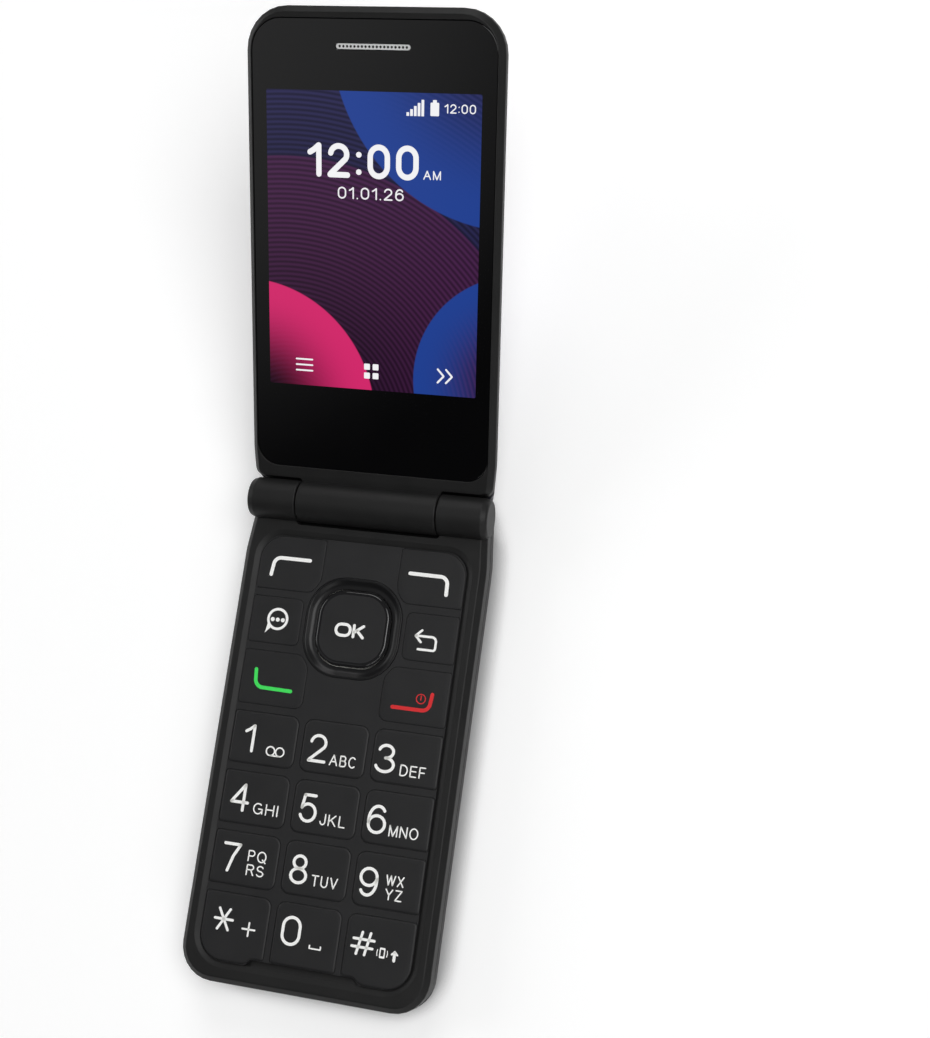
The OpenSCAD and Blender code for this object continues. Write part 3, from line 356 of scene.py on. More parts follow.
# Pen strokes of plain numerals and capitals in a box of 1 by 1, with the box's width over its height. A stroke is
# made of points (x, y) and of ellipse arcs (middle x, y, radius x, y, from angle, to angle).
ROUND = (0.5, 0.5, 0.5, 0.5, 90, 450)
SIGNS = {
    "0": (0.63, [[(0.5, 0.66, 0.5, 0.34, 0, 180), (0.5, 0.34, 0.5, 0.34, 180, 360), (1, 0.66)]]),
    "1": (0.33, [[(1, 0), (1, 1)], [(0, 0.76), (0.45, 0.85), (0.97, 1)]]),
    "2": (0.65, [[(0.5, 0.71, 0.46, 0.29, 172, -32), (0.03, 0.03)], [(0, 0), (1, 0)]]),
    "3": (0.63, [[(0.48, 0.76, 0.42, 0.24, 165, -90)], [(0.47, 0.265, 0.53, 0.265, 85, -165)]]),
    "4": (0.66, [[(0.74, 0), (0.74, 1)], [(0.74, 1), (0, 0.31)], [(0, 0.31), (1, 0.31)]]),
    "5": (0.63, [[(0.2, 1), (0.9, 1)], [(0.2, 1), (0.08, 0.5)], [(0.5, 0.33, 0.5, 0.33, 147, -160)]]),
    "6": (0.63, [[(0.52, 0.76, 0.4, 0.24, 20, 90), (0.52, 0.5, 0.52, 0.5, 90, 180), (0, 0.36)],
                 [(0.5, 0.32, 0.5, 0.32, 90, 450)]]),
    "7": (0.6, [[(0, 1), (1, 1)], [(1, 1), (0.62, 0.55), (0.36, 0)]]),
    "8": (0.63, [[(0.5, 0.765, 0.4, 0.235, 90, 450)], [(0.5, 0.265, 0.5, 0.265, 90, 450)]]),
    "9": (0.63, [[(0.48, 0.24, 0.4, 0.24, 200, 270), (0.48, 0.5, 0.52, 0.5, 270, 360), (1, 0.64)],
                 [(0.5, 0.68, 0.5, 0.32, 90, 450)]]),
    "#": (0.92, [[(0.24, 0), (0.42, 1)], [(0.62, 0), (0.8, 1)], [(0.05, 0.68), (1, 0.68)], [(0, 0.32), (0.95, 0.32)]]),
    ".": (0.01, [[(0, 0), (1, 0)]]),
    ":": (0.01, [[(0, 0.12), (1, 0.12)], [(0, 0.72), (1, 0.72)]]),
    "A": (0.8, [[(0, 0), (0.5, 1)], [(0.5, 1), (1, 0)], [(0.2, 0.36), (0.8, 0.36)]]),
    "B": (0.62, [[(0, 0), (0, 1)], [(0, 1), (0.55, 0.77, 0.35, 0.23, 90, -90), (0, 0.54)],
                 [(0, 0.54), (0.6, 0.27, 0.4, 0.27, 90, -90), (0, 0)]]),
    "C": (0.74, [[(0.5, 0.5, 0.5, 0.5, 48, 312)]]),
    "D": (0.7, [[(0, 0), (0, 1)], [(0, 1), (0.4, 0.5, 0.6, 0.5, 90, -90), (0, 0)]]),
    "E": (0.6, [[(0, 0), (0, 1)], [(0, 1), (1, 1)], [(0, 0.53), (0.92, 0.53)], [(0, 0), (1, 0)]]),
    "F": (0.56, [[(0, 0), (0, 1)], [(0, 1), (1, 1)], [(0, 0.5), (0.88, 0.5)]]),
    "G": (0.8, [[(0.5, 0.5, 0.5, 0.5, 50, 335)], [(1, 0.05), (1, 0.48)], [(1, 0.48), (0.58, 0.48)]]),
    "H": (0.7, [[(0, 0), (0, 1)], [(1, 0), (1, 1)], [(0, 0.53), (1, 0.53)]]),
    "I": (0.01, [[(0, 0), (0, 1)]]),
    "J": (0.46, [[(1, 1), (0.5, 0.3, 0.5, 0.3, 0, -175)]]),
    "K": (0.66, [[(0, 0), (0, 1)], [(0.95, 1), (0, 0.36)], [(0.33, 0.58), (1, 0)]]),
    "L": (0.52, [[(0, 0), (0, 1)], [(0, 0), (1, 0)]]),
    "M": (0.82, [[(0, 0), (0, 1)], [(0, 1), (0.5, 0)], [(0.5, 0), (1, 1)], [(1, 1), (1, 0)]]),
    "N": (0.7, [[(0, 0), (0, 1)], [(0, 1), (1, 0)], [(1, 0), (1, 1)]]),
    "O": (0.84, [[ROUND]]),
    "P": (0.6, [[(0, 0), (0, 1)], [(0, 1), (0.6, 0.74, 0.4, 0.26, 90, -90), (0, 0.48)]]),
    "Q": (0.84, [[ROUND], [(0.62, 0.26), (1, -0.04)]]),
    "R": (0.66, [[(0, 0), (0, 1)], [(0, 1), (0.6, 0.76, 0.38, 0.24, 90, -90), (0, 0.52)], [(0.6, 0.52), (1, 0)]]),
    "S": (0.62, [[(0.5, 0.75, 0.46, 0.25, 25, 270), (0.5, 0.25, 0.5, 0.25, 90, -155)]]),
    "T": (0.68, [[(0, 1), (1, 1)], [(0.5, 1), (0.5, 0)]]),
    "U": (0.66, [[(0, 1), (0.5, 0.34, 0.5, 0.34, 180, 360), (1, 1)]]),
    "V": (0.72, [[(0, 1), (0.5, 0)], [(0.5, 0), (1, 1)]]),
    "W": (1.05, [[(0, 1), (0.25, 0)], [(0.25, 0), (0.5, 1)], [(0.5, 1), (0.75, 0)], [(0.75, 0), (1, 1)]]),
    "X": (0.68, [[(0, 0), (1, 1)], [(0, 1), (1, 0)]]),
    "Y": (0.7, [[(0, 1), (0.5, 0.45)], [(1, 1), (0.5, 0.45)], [(0.5, 0.45), (0.5, 0)]]),
    "Z": (0.64, [[(0, 1), (1, 1)], [(1, 1), (0, 0)], [(0, 0), (1, 0)]]),
}


def pen_path(items):
    """Points of one stroke of a sign: an arc's points are its middle plus its radii times cosine and sine."""
    path = []
    for x, y, *arc in items:
        wide, tall, start, end = arc or (0, 0, 0, 0)
        turn = np.radians(np.linspace(start, end, 20 if arc else 1))
        path.append(np.stack([x + wide * np.cos(turn), y + tall * np.sin(turn)], 1))
    return np.vstack(path)


def writing(text, x0, x1, y0, y1, pen, low, high):
    """Plates of numerals or capitals drawn with a round pen, which fill a rectangle between two heights."""
    widths = np.array([SIGNS[letter][0] for letter in text])
    tall, space = y1 - y0 - pen, 0.2 + 1.3 * pen / (y1 - y0)
    starts = np.concatenate([[0], np.cumsum(widths + space)[:-1]])
    scale = (x1 - x0 - pen) / (starts[-1] + widths[-1])
    parts = []
    for letter, start, width in zip(text, starts, widths):
        for items in SIGNS[letter][1]:
            path = pen_path(items) * [width * scale, tall] + [x0 + pen / 2 + start * scale, y0 + pen / 2]
            parts += slab(ribbon(path, pen), low, high)
    return parts


def pen_marks(strokes, low, high):
    """Plates of several pen lines, each with its pen's width, between two heights."""
    return [part for line, width in strokes for part in slab(ribbon(section(line, 8), width), low, high)]


def in_base(points):
    """From the keypad half's own millimetres, measured from the hinge axis, to the row frame in metres."""
    return (points + np.array([0, AXIS[1], 0])) / 1000


def in_lid(points):
    """From the lid's own millimetres (across, away from the hinge, towards the viewer) to the row frame: a turn
    about the hinge axis by the angle at which the open lid leans."""
    x, v, h = points.T
    c, s = np.cos(LEAN), np.sin(LEAN)
    return (np.column_stack([x, v * c - h * s, v * s + h * c]) + AXIS) / 1000


def piece(name, parts, place, body, materials, replaces=(), sharp=32, flat_map=None):
    """Joins parts (points, faces) into one object that rides on a body. A part may name its material's number, and
    a flat map (x0, x1, y0, y1) gives the plan's rectangle that fills the picture. Points closer than two thousandths
    of a millimetre are merged, faces turned outwards, and edges sharper than an angle in degrees kept crisp."""
    points, faces, kinds, start = [], [], [], 0
    for spots, sides, *kind in parts:
        points.append(spots)
        faces += (sides + start).tolist()
        kinds += (kind or [0]) * len(sides)
        start += len(spots)
    local = np.vstack(points)
    mesh = bpy.data.meshes.new(name)
    mesh.from_pydata(place(local), [], faces)
    mesh.polygons.foreach_set("material_index", kinds)
    if flat_map is not None:
        x0, x1, y0, y1 = flat_map
        uv = mesh.uv_layers.new(name="flat")
        corner = np.zeros(len(mesh.loops), int)
        mesh.loops.foreach_get("vertex_index", corner)
        plan = (local[corner, :2] - [x0, y0]) / [x1 - x0, y1 - y0]
        uv.data.foreach_set("uv", plan.astype(np.float32).ravel())
    whole = bmesh.new()
    whole.from_mesh(mesh)
    bmesh.ops.remove_doubles(whole, verts=whole.verts, dist=2e-6)
    bmesh.ops.dissolve_degenerate(whole, edges=whole.edges, dist=1e-7)
    bmesh.ops.recalc_face_normals(whole, faces=whole.faces)
    whole.to_mesh(mesh)
    whole.free()
    mesh.shade_smooth()
    mesh.set_sharp_from_angle(angle=np.radians(sharp))
    made = bpy.data.objects.new(name, mesh)
    bpy.context.scene.collection.objects.link(made)
    for material in materials if isinstance(materials, (list, tuple)) else [materials]:
        mesh.materials.append(material)
    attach(made, body)
    if replaces:
        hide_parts(*replaces)
    return made


# ---- finishes ----


def add(tree, kind, inputs=None, **settings):
    """Adds a node with its settings; an input is linked if it is given a socket, and otherwise set."""
    made = tree.nodes.new("ShaderNode" + kind)
    for name, value in settings.items():
        setattr(made, name, value)
    for name, value in (inputs or {}).items():
        if isinstance(value, bpy.types.NodeSocket):
            tree.links.new(value, made.inputs[name])
        else:
            made.inputs[name].default_value = value
    return made


def finish_of(name):
    """A named material that is made once: (material, its node tree or None where it is already made)."""
    found = bpy.data.materials.get(name)
    if found:
        return found, None
    made = bpy.data.materials.new(name)
    made.use_nodes = True
    made.node_tree.nodes.clear()
    return made, made.node_tree


def per_mm(size):
    """Scale of a pattern in a metre frame whose features are a size in millimetres."""
    return 1000.0 / size


def moulded(name, colour, grain, depth, rough, uneven=0.06, level=0.5):
    """Moulded or painted plastic: a fine grain that breaks up the sheen, and slow changes of tone and gloss every
    6 mm. The grain is in millimetres, the depth from 0 to 1. Real grain is 0.05 to 0.1 mm wide: it is drawn at
    0.12 mm or more, so that it still shows."""
    made, tree = finish_of(name)
    if tree is None:
        return made
    place = add(tree, "TexCoord").outputs["Object"]
    grains = add(tree, "TexNoise", {"Vector": place, "Scale": per_mm(grain), "Detail": 2.0})
    patches = add(tree, "TexNoise", {"Vector": place, "Scale": per_mm(6.0), "Detail": 3.0})
    tone = add(tree, "MapRange", {"Value": patches.outputs[0], "From Min": 0.3, "From Max": 0.7,
                                  "To Min": 1 - uneven, "To Max": 1 + uneven})
    tint = add(tree, "Mix", {0: 1.0, 6: colour, 7: tone.outputs[0]}, data_type="RGBA", blend_type="MULTIPLY")
    gloss = add(tree, "MapRange", {"Value": patches.outputs[0], "From Min": 0.3, "From Max": 0.7,
                                   "To Min": rough - 0.03, "To Max": rough + 0.03})
    bump = add(tree, "Bump", {"Height": grains.outputs[0], "Strength": depth, "Distance": 0.00002})
    shader = add(tree, "BsdfPrincipled", {"Base Color": tint.outputs[2], "Roughness": gloss.outputs[0],
                                          "Specular IOR Level": level, "Normal": bump.outputs[0]})
    add(tree, "OutputMaterial", {"Surface": shader.outputs[0]})
    return made


def case_moulding(colours):
    """ABS and polycarbonate blend with a spark-eroded mould texture: a dry black with a faint sparkle of grain."""
    return moulded("spark_eroded_abs", colours.case, grain=0.18, depth=0.35, rough=0.48, level=0.25)


def key_paint(colours):
    """Polycarbonate keys with a soft satin paint: smoother and a touch lighter than the case."""
    return moulded("satin_painted_polycarbonate", colours.keys, grain=0.12, depth=0.15, rough=0.5, uneven=0.04,
                   level=0.3)


def web_paint(colours):
    """The lattice between the keys, moulded and painted with them."""
    return moulded("satin_painted_lattice", colours.keys, grain=0.14, depth=0.2, rough=0.52, uneven=0.04, level=0.3)


def pearl_lacquer(colours):
    """Polycarbonate cover under pearl lacquer: dark with violet mica flakes under a satin clear coat."""
    made, tree = finish_of("pearl_lacquered_polycarbonate")
    if tree is None:
        return made
    place = add(tree, "TexCoord").outputs["Object"]
    # real flakes are 0.05 mm wide and would not show
    flakes = add(tree, "TexVoronoi", {"Vector": place, "Scale": per_mm(0.12)})
    glint = add(tree, "MapRange", {"Value": flakes.outputs["Color"], "From Min": 0.2, "From Max": 1.0,
                                   "To Min": 0.85, "To Max": 1.7})
    tint = add(tree, "Mix", {0: 1.0, 6: colours.cover, 7: glint.outputs[0]}, data_type="RGBA", blend_type="MULTIPLY")
    shimmer = add(tree, "TexNoise", {"Vector": place, "Scale": per_mm(0.2), "Detail": 2.0})
    bump = add(tree, "Bump", {"Height": shimmer.outputs[0], "Strength": 0.12, "Distance": 0.00002})
    shader = add(tree, "BsdfPrincipled", {"Base Color": tint.outputs[2], "Metallic": 0.25, "Roughness": 0.42,
                                          "Normal": bump.outputs[0], "Coat Weight": 0.5, "Coat Roughness": 0.22})
    add(tree, "OutputMaterial", {"Surface": shader.outputs[0]})
    return made


def polished_black(name, colour, rough, coat=0.5, level=0.5):
    """Polished black plastic or printed acrylic: mirror-like, with barely seen smudges 9 mm wide from handling."""
    made, tree = finish_of(name)
    if tree is None:
        return made
    place = add(tree, "TexCoord").outputs["Object"]
    smudge = add(tree, "TexNoise", {"Vector": place, "Scale": per_mm(9.0), "Detail": 4.0})
    gloss = add(tree, "MapRange", {"Value": smudge.outputs[0], "From Min": 0.35, "From Max": 0.75,
                                   "To Min": rough, "To Max": rough + 0.05})
    shader = add(tree, "BsdfPrincipled", {"Base Color": colour, "Roughness": gloss.outputs[0],
                                          "Specular IOR Level": level, "Coat Weight": coat, "Coat Roughness": 0.03})
    add(tree, "OutputMaterial", {"Surface": shader.outputs[0]})
    return made


def ink(name, colour, glow=0.0):
    """Printed or lasered legend: an even matt ink with slight wear, and a faint light through it."""
    made, tree = finish_of(name)
    if tree is None:
        return made
    place = add(tree, "TexCoord").outputs["Object"]
    wear = add(tree, "TexNoise", {"Vector": place, "Scale": per_mm(0.4), "Detail": 2.0})
    tone = add(tree, "MapRange", {"Value": wear.outputs[0], "From Min": 0.3, "From Max": 0.7,
                                  "To Min": 0.93, "To Max": 1.0})
    tint = add(tree, "Mix", {0: 1.0, 6: colour, 7: tone.outputs[0]}, data_type="RGBA", blend_type="MULTIPLY")
    shader = add(tree, "BsdfPrincipled", {"Base Color": tint.outputs[2], "Roughness": 0.55,
                                          "Emission Color": colour, "Emission Strength": glow})
    add(tree, "OutputMaterial", {"Surface": shader.outputs[0]})
    return made


def lit_figures():
    """Lit white figures of a display, behind the same gloss as its picture, with the faint grid of its pixels."""
    made, tree = finish_of("lit_white_figures")
    if tree is None:
        return made
    place = add(tree, "TexCoord").outputs["Object"]
    grid = add(tree, "TexChecker", {"Vector": place, "Scale": per_mm(0.15)})
    light = add(tree, "Mix", {0: 0.04, 6: linear("#f4f4f6"), 7: grid.outputs[0]}, data_type="RGBA",
                blend_type="MULTIPLY")
    shader = add(tree, "BsdfPrincipled", {"Base Color": linear("#000000"), "Roughness": 0.06,
                                          "Emission Color": light.outputs[2], "Emission Strength": 1.0})
    add(tree, "OutputMaterial", {"Surface": shader.outputs[0]})
    return made


def picture_light(name, colours, wide, tall):
    """Lit picture of a display under a gloss lens, drawn on the piece's own flat map: a night sky with three round
    glows that overlap like ripples on water. A glow is brightest at its rim and fades towards its middle, and fine
    rings a millimetre apart follow the largest one."""
    made, tree = finish_of(name)
    if tree is None:
        return made
    flat = add(tree, "Mapping", {"Vector": add(tree, "TexCoord").outputs["UV"], "Scale": (wide, tall, 1.0)})

    def glow(x, y, radius, fade):
        """Light of one round glow, and how far inside its rim a point lies in millimetres. The middle is given in
        shares of the picture's width and height, the radius and the width of the fading in shares of its width."""
        far = add(tree, "VectorMath", {0: flat.outputs[0], 1: (x * wide, y * tall, 0.0)}, operation="DISTANCE")
        rim = add(tree, "Math", {0: radius * wide, 1: far.outputs["Value"]}, operation="SUBTRACT")
        edge = add(tree, "MapRange", {"Value": rim.outputs[0], "From Min": 0.0, "From Max": 0.25})
        depth = add(tree, "MapRange", {"Value": rim.outputs[0], "From Min": 0.0, "From Max": fade * wide,
                                       "To Min": 1.0, "To Max": 0.0}, interpolation_type="SMOOTHERSTEP")
        lit = add(tree, "Math", {0: edge.outputs[0], 1: depth.outputs[0]}, operation="MULTIPLY")
        return lit.outputs[0], rim.outputs[0]

    wash, rim = glow(0.1, -0.15, 2.1, 2.3)
    turn = add(tree, "Math", {0: rim, 1: 2 * np.pi}, operation="MULTIPLY")
    ripple = add(tree, "Math", {0: turn.outputs[0]}, operation="SINE")
    lines = add(tree, "MapRange", {"Value": ripple.outputs[0], "From Min": -1.0, "From Max": 1.0,
                                   "To Min": 0.25, "To Max": 1.0})
    base = add(tree, "Mix", {0: wash, 6: colours.night, 7: colours.dusk}, data_type="RGBA")
    warm, _ = glow(0.1, -0.15, 1.25, 1.5)
    veil = add(tree, "Math", {0: warm, 1: 0.5}, operation="MULTIPLY")
    blush = add(tree, "Mix", {0: veil.outputs[0], 6: base.outputs[2], 7: colours.plum}, data_type="RGBA")
    light = add(tree, "Mix", {0: 0.75, 6: blush.outputs[2], 7: lines.outputs[0]}, data_type="RGBA",
                blend_type="MULTIPLY")
    for x, y, radius, fade, colour in ((1.15, 1.2, 0.85, 0.75, colours.blue), (-0.1, -0.1, 0.62, 0.5, colours.rose),
                                       (1.2, 0.05, 0.5, 0.45, colours.blue)):
        lit, _ = glow(x, y, radius, fade)
        light = add(tree, "Mix", {0: lit, 6: light.outputs[2], 7: colour}, data_type="RGBA")
    shader = add(tree, "BsdfPrincipled", {"Base Color": linear("#000000"), "Roughness": 0.06,
                                          "Emission Color": light.outputs[2], "Emission Strength": 1.0})
    add(tree, "OutputMaterial", {"Surface": shader.outputs[0]})
    return made


def worked_metal(name, code, rough, metal=1.0):
    """Stamped or turned metal: brushed along one direction, which draws the highlight out into lines 0.12 mm wide,
    coarser than real ones, so that they show."""
    made, tree = finish_of(name)
    if tree is None:
        return made
    place = add(tree, "TexCoord").outputs["Object"]
    long = add(tree, "Mapping", {"Vector": place, "Scale": (0.08, 1.0, 1.0)})
    lines = add(tree, "TexNoise", {"Vector": long.outputs[0], "Scale": per_mm(0.12), "Detail": 3.0})
    gloss = add(tree, "MapRange", {"Value": lines.outputs[0], "From Min": 0.3, "From Max": 0.7,
                                   "To Min": rough - 0.08, "To Max": rough + 0.08})
    bump = add(tree, "Bump", {"Height": lines.outputs[0], "Strength": 0.15, "Distance": 0.00001})
    shader = add(tree, "BsdfPrincipled", {"Base Color": linear(code), "Metallic": metal,
                                          "Roughness": gloss.outputs[0], "Normal": bump.outputs[0]})
    add(tree, "OutputMaterial", {"Surface": shader.outputs[0]})
    return made


def solder_mask():
    """Glass epoxy board under green solder mask: copper tracks show through as lighter, slightly raised runs."""
    made, tree = finish_of("green_glass_epoxy_board")
    if tree is None:
        return made
    place = add(tree, "TexCoord").outputs["Object"]
    tracks = add(tree, "TexBrick", {"Vector": place, "Scale": per_mm(1.6), "Mortar Size": 0.09,
                                    "Color1": linear("#1f4a33"), "Color2": linear("#1b4430"),
                                    "Mortar": linear("#3d6d45")})
    bump = add(tree, "Bump", {"Height": tracks.outputs[1], "Strength": 0.3, "Distance": 0.00003})
    shader = add(tree, "BsdfPrincipled", {"Base Color": tracks.outputs[0], "Roughness": 0.3,
                                          "Normal": bump.outputs[0]})
    add(tree, "OutputMaterial", {"Surface": shader.outputs[0]})
    return made


def camera_glass():
    """Coated glass over the camera: nearly black, with a faint green and violet sheen under a blue coat."""
    made, tree = finish_of("coated_camera_glass")
    if tree is None:
        return made
    place = add(tree, "TexCoord").outputs["Object"]
    sheen = add(tree, "TexNoise", {"Vector": place, "Scale": per_mm(3.0), "Detail": 2.0})
    tint = add(tree, "Mix", {0: sheen.outputs[0], 6: linear("#07140f"), 7: linear("#0c0a18")}, data_type="RGBA")
    shader = add(tree, "BsdfPrincipled", {"Base Color": tint.outputs[2], "Roughness": 0.03, "Coat Weight": 1.0,
                                          "Coat Roughness": 0.02, "Coat Tint": linear("#b9c8ff")})
    add(tree, "OutputMaterial", {"Surface": shader.outputs[0]})
    return made


def paper_sweep(colours):
    """Pale uncoated paper under the phone, which fades to plain white from 0.45 to 1.1 m away. A little light of its
    own lifts the lamps' shade. Within 7 mm of the phone's near edge and right side it goes darker again, in a
    painted contact shadow."""
    made, tree = finish_of("pale_paper_sweep")
    if tree is None:
        return made
    path = add(tree, "LightPath")
    seen = add(tree, "Math", {0: path.outputs["Is Camera Ray"], 1: path.outputs["Is Glossy Ray"]}, operation="MAXIMUM")
    sheet = add(tree, "BsdfDiffuse", {"Color": colours.floor})
    glow = add(tree, "Emission", {"Color": linear("#ffffff"), "Strength": 0.22})
    lit = add(tree, "AddShader", {0: sheet.outputs[0], 1: glow.outputs[0]})
    # painted contact shadow: occlusion is sought only towards the phone's far end and left, so it darkens the floor by
    # its near edge and right side
    painted_shadow_occlusion = add(tree, "AmbientOcclusion", {"Distance": 0.007, "Normal": (-0.35, 0.88, 0.32)}, samples=16)
    clear = add(tree, "MapRange", {"Value": painted_shadow_occlusion.outputs["AO"], "From Min": 0.5, "From Max": 0.8, "To Min": 0.4})
    lift = add(tree, "MixShader", {0: clear.outputs[0], 2: lit.outputs[0]})  # its empty input is black, which gives the painted contact shadow
    from_middle = add(tree, "VectorMath", {0: add(tree, "TexCoord").outputs["Object"]}, operation="LENGTH")
    far = add(tree, "MapRange", {"Value": from_middle.outputs["Value"], "From Min": 0.45, "From Max": 1.1})
    white = add(tree, "Emission", {"Color": linear("#ffffff"), "Strength": 1.0})
    sweep = add(tree, "MixShader", {0: far.outputs[0], 1: lift.outputs[0], 2: white.outputs[0]})
    shown = add(tree, "MixShader", {0: seen.outputs[0], 1: sheet.outputs[0], 2: sweep.outputs[0]})
    add(tree, "OutputMaterial", {"Surface": shown.outputs[0]})
    return made


def studio_world():
    """White to the camera; dark to the phone, with one soft bright patch that the lens mirrors as a veil."""
    world = bpy.data.worlds.new("studio")
    world.use_nodes = True
    tree = world.node_tree
    tree.nodes.clear()
    way = add(tree, "TexCoord").outputs["Generated"]
    patch = Vector((-0.5, -0.28, 0.82)).normalized()
    near = add(tree, "VectorMath", {0: way, 1: patch}, operation="DOT_PRODUCT")
    veil = add(tree, "MapRange", {"Value": near.outputs["Value"], "From Min": 0.915, "From Max": 1.0,
                                  "To Min": 0.01, "To Max": 0.37}, interpolation_type="SMOOTHSTEP")
    seen = add(tree, "LightPath").outputs["Is Camera Ray"]
    level = add(tree, "Math", {0: veil.outputs[0], 1: seen}, operation="MAXIMUM")
    sky = add(tree, "Background", {"Color": linear("#ffffff"), "Strength": level.outputs[0]})
    add(tree, "OutputWorld", {"Surface": sky.outputs[0]})
    return world


# ---- pieces ----


def base_plan(s, height, depth, notch_depth=None):
    """Plan of the keypad half at one height, shrunk by a depth. The notch for the centre barrel is a cylinder
    about the hinge axis: its edge lies the square root of (clear radius squared less rise squared) back, and
    1.6 mm at least. It may be shrunk by a depth of its own."""
    clear, slot = s.barrel + s.notch_gap, s.barrel_half + s.end_gap
    notch = -np.sqrt(max(clear**2 - (AXIS[2] - height) ** 2, 1.6**2))
    wide, foot, end = s.half, s.half - s.taper, -0.2
    corners = [(-wide, -s.reach, s.corner), (wide, -s.reach, s.corner), (wide, -s.shoulder, s.side_bend),
               (foot, end, 0.9), (slot, end, 0.4), (slot, notch, 0.5), (-slot, notch, 0.5),
               (-slot, end, 0.4), (-foot, end, 0.9), (-wide, -s.shoulder, s.side_bend)]
    inner = depth if notch_depth is None else notch_depth
    return shrunk(corners, [depth] * 4 + [inner] * 3 + [depth] * 3)


def opening_corners(s, grow=0.0, step=None):
    """Corners of the keypad opening, grown by a distance, with the edge of its thumb recess a step further in."""
    step = s.thumb_step if step is None else step
    side, far, near = s.opening, -s.opening_far, -s.opening_near
    foot, head = s.thumb, s.thumb - s.thumb_step
    corners = [(-side, far, s.opening_round), (-foot, far, 0.5), (-head, far + step, 0.5), (head, far + step, 0.5),
               (foot, far, 0.5), (side, far, s.opening_round), (side, near, s.opening_near_round),
               (-side, near, s.opening_near_round)]
    return shrunk(corners, -grow)


def opening_distance(s):
    """Signed distance to the keypad opening with its thumb step; every corner has the mean of both radii."""
    corner = (s.opening_round + s.opening_near_round) / 2
    whole = rounded_box(-s.opening, s.opening, -s.opening_far, -s.opening_near, corner)
    head, top = -s.opening_far + s.thumb_step, s.thumb - s.thumb_step

    def distance(p):
        step = both(p[:, 1] - head, (np.abs(p[:, 0]) + p[:, 1] - head - top) / np.sqrt(2), 0.4)
        return both(whole(p), -step, 0.8)

    return distance


def ring_distance(s, half):
    """Signed distance to the rounded square of the navigation keys with a half width."""
    return rounded_box(-half, half, -s.ring_y - half, -s.ring_y + half, s.ring_round + half - s.ring)


# The lines between the key rows, in millimetres from the hinge axis, and each key's column and row.
ROWS = (7.8, 20.6, 32.4, 45.7, 58.4, 71.1, 83.8, 98.8)
KEYS = {"key_soft_left": (0, 0), "key_soft_right": (2, 0), "key_message": (0, 1), "key_back": (2, 1),
        "key_call": (0, 2), "key_end": (2, 2), "key_1": (0, 3), "key_2": (1, 3), "key_3": (2, 3),
        "key_4": (0, 4), "key_5": (1, 4), "key_6": (2, 4), "key_7": (0, 5), "key_8": (1, 5), "key_9": (2, 5),
        "key_star": (0, 6), "key_0": (1, 6), "key_hash": (2, 6)}


def key_distance(s, column, row):
    """Signed distance to one key, cut by the opening's border and by the ring, and the key's middle. Outer keys
    run on to the border, and the keys of the upper rows have their middle a little further out."""
    inner = s.ring_column if row == 1 else s.column
    x0 = (-s.half, -s.column + s.web_x, inner + s.web_x)[column]
    x1 = (-inner - s.web_x, s.column - s.web_x, s.half)[column]
    y0 = -s.reach if row == 6 else -ROWS[row + 1] + s.web_y
    y1 = 0 if row == 0 else -ROWS[row] - s.web_y
    cell = rounded_box(x0, x1, y0, y1, s.key_round)
    border, ring = opening_distance(s), ring_distance(s, s.ring + 0.8)

    def distance(p):
        return both(both(cell(p), border(p) + 0.22, 0.6), -ring(p), 1.2)

    across = 2 * s.column * (column - 1) * (1.06 if row < 3 else 1)
    return distance, np.array([across, -(ROWS[row] + ROWS[row + 1]) / 2])


class PHONE_OT_front_shell(bpy.types.Operator):
    """Upper case of the keypad half: outer wall, chamfered deck round the keypad, and the hinge's end knuckles"""

    bl_idname = "phone.front_shell"
    bl_label = "Front shell"

    def execute(self, context):
        s, colours = in_millimetres(context), context.scene.phone_colours
        low, deck, wall = s.seam, s.deck, s.wall
        outer = section([(0.2, low), (0, low + 0.2, 0.2), (0, deck - s.chamfer, 0.5), (s.chamfer, deck, 0.5),
                         (s.chamfer + 0.5, deck)])
        # the chamfer is only a quarter as wide along the notch
        rows = [raised(outline(base_plan(s, z, d, 0.25 * min(d, s.chamfer))), z) for d, z in outer]
        lip = section([(-s.lip - 0.4, deck), (-s.lip, deck, 0.5), (0, deck - 0.5, 0.12), (0, deck - 0.6)], 8)
        # the lip runs straight past the thumb recess, whose step starts below it
        rim = [raised(outline(opening_corners(s, -d, 0.03)), z) for d, z in lip]
        rim += [raised(outline(opening_corners(s)), z) for z in (deck - 1.0, deck - wall)]
        inner = [raised(outline(base_plan(s, z, wall)), z) for z in (deck - wall, low)]
        parts = [skin(rows), skin(rim), skin(inner), skin([inner[-1], rows[0]]),
                 cap(deck, rows[-1][:, :2], rim[0][:, :2]),
                 cap(deck - wall, inner[0][:, :2], rim[-1][:, :2])]
        inside, outside = s.barrel_half + s.end_gap, s.half - 0.25
        profile = section([(inside, 0), (inside, s.barrel, 0.3), (outside - 1.4, s.barrel, 0.6),
                           (outside, s.barrel - 0.5, 0.7), (outside, 0)], 8)
        for side in (-1, 1):
            points, faces = lathe(profile * [side, 1])
            parts.append((points + [0, 0, AXIS[2]], faces))
        piece("front_shell", parts, in_base, "base", case_moulding(colours), ["front_case"])
        return {"FINISHED"}


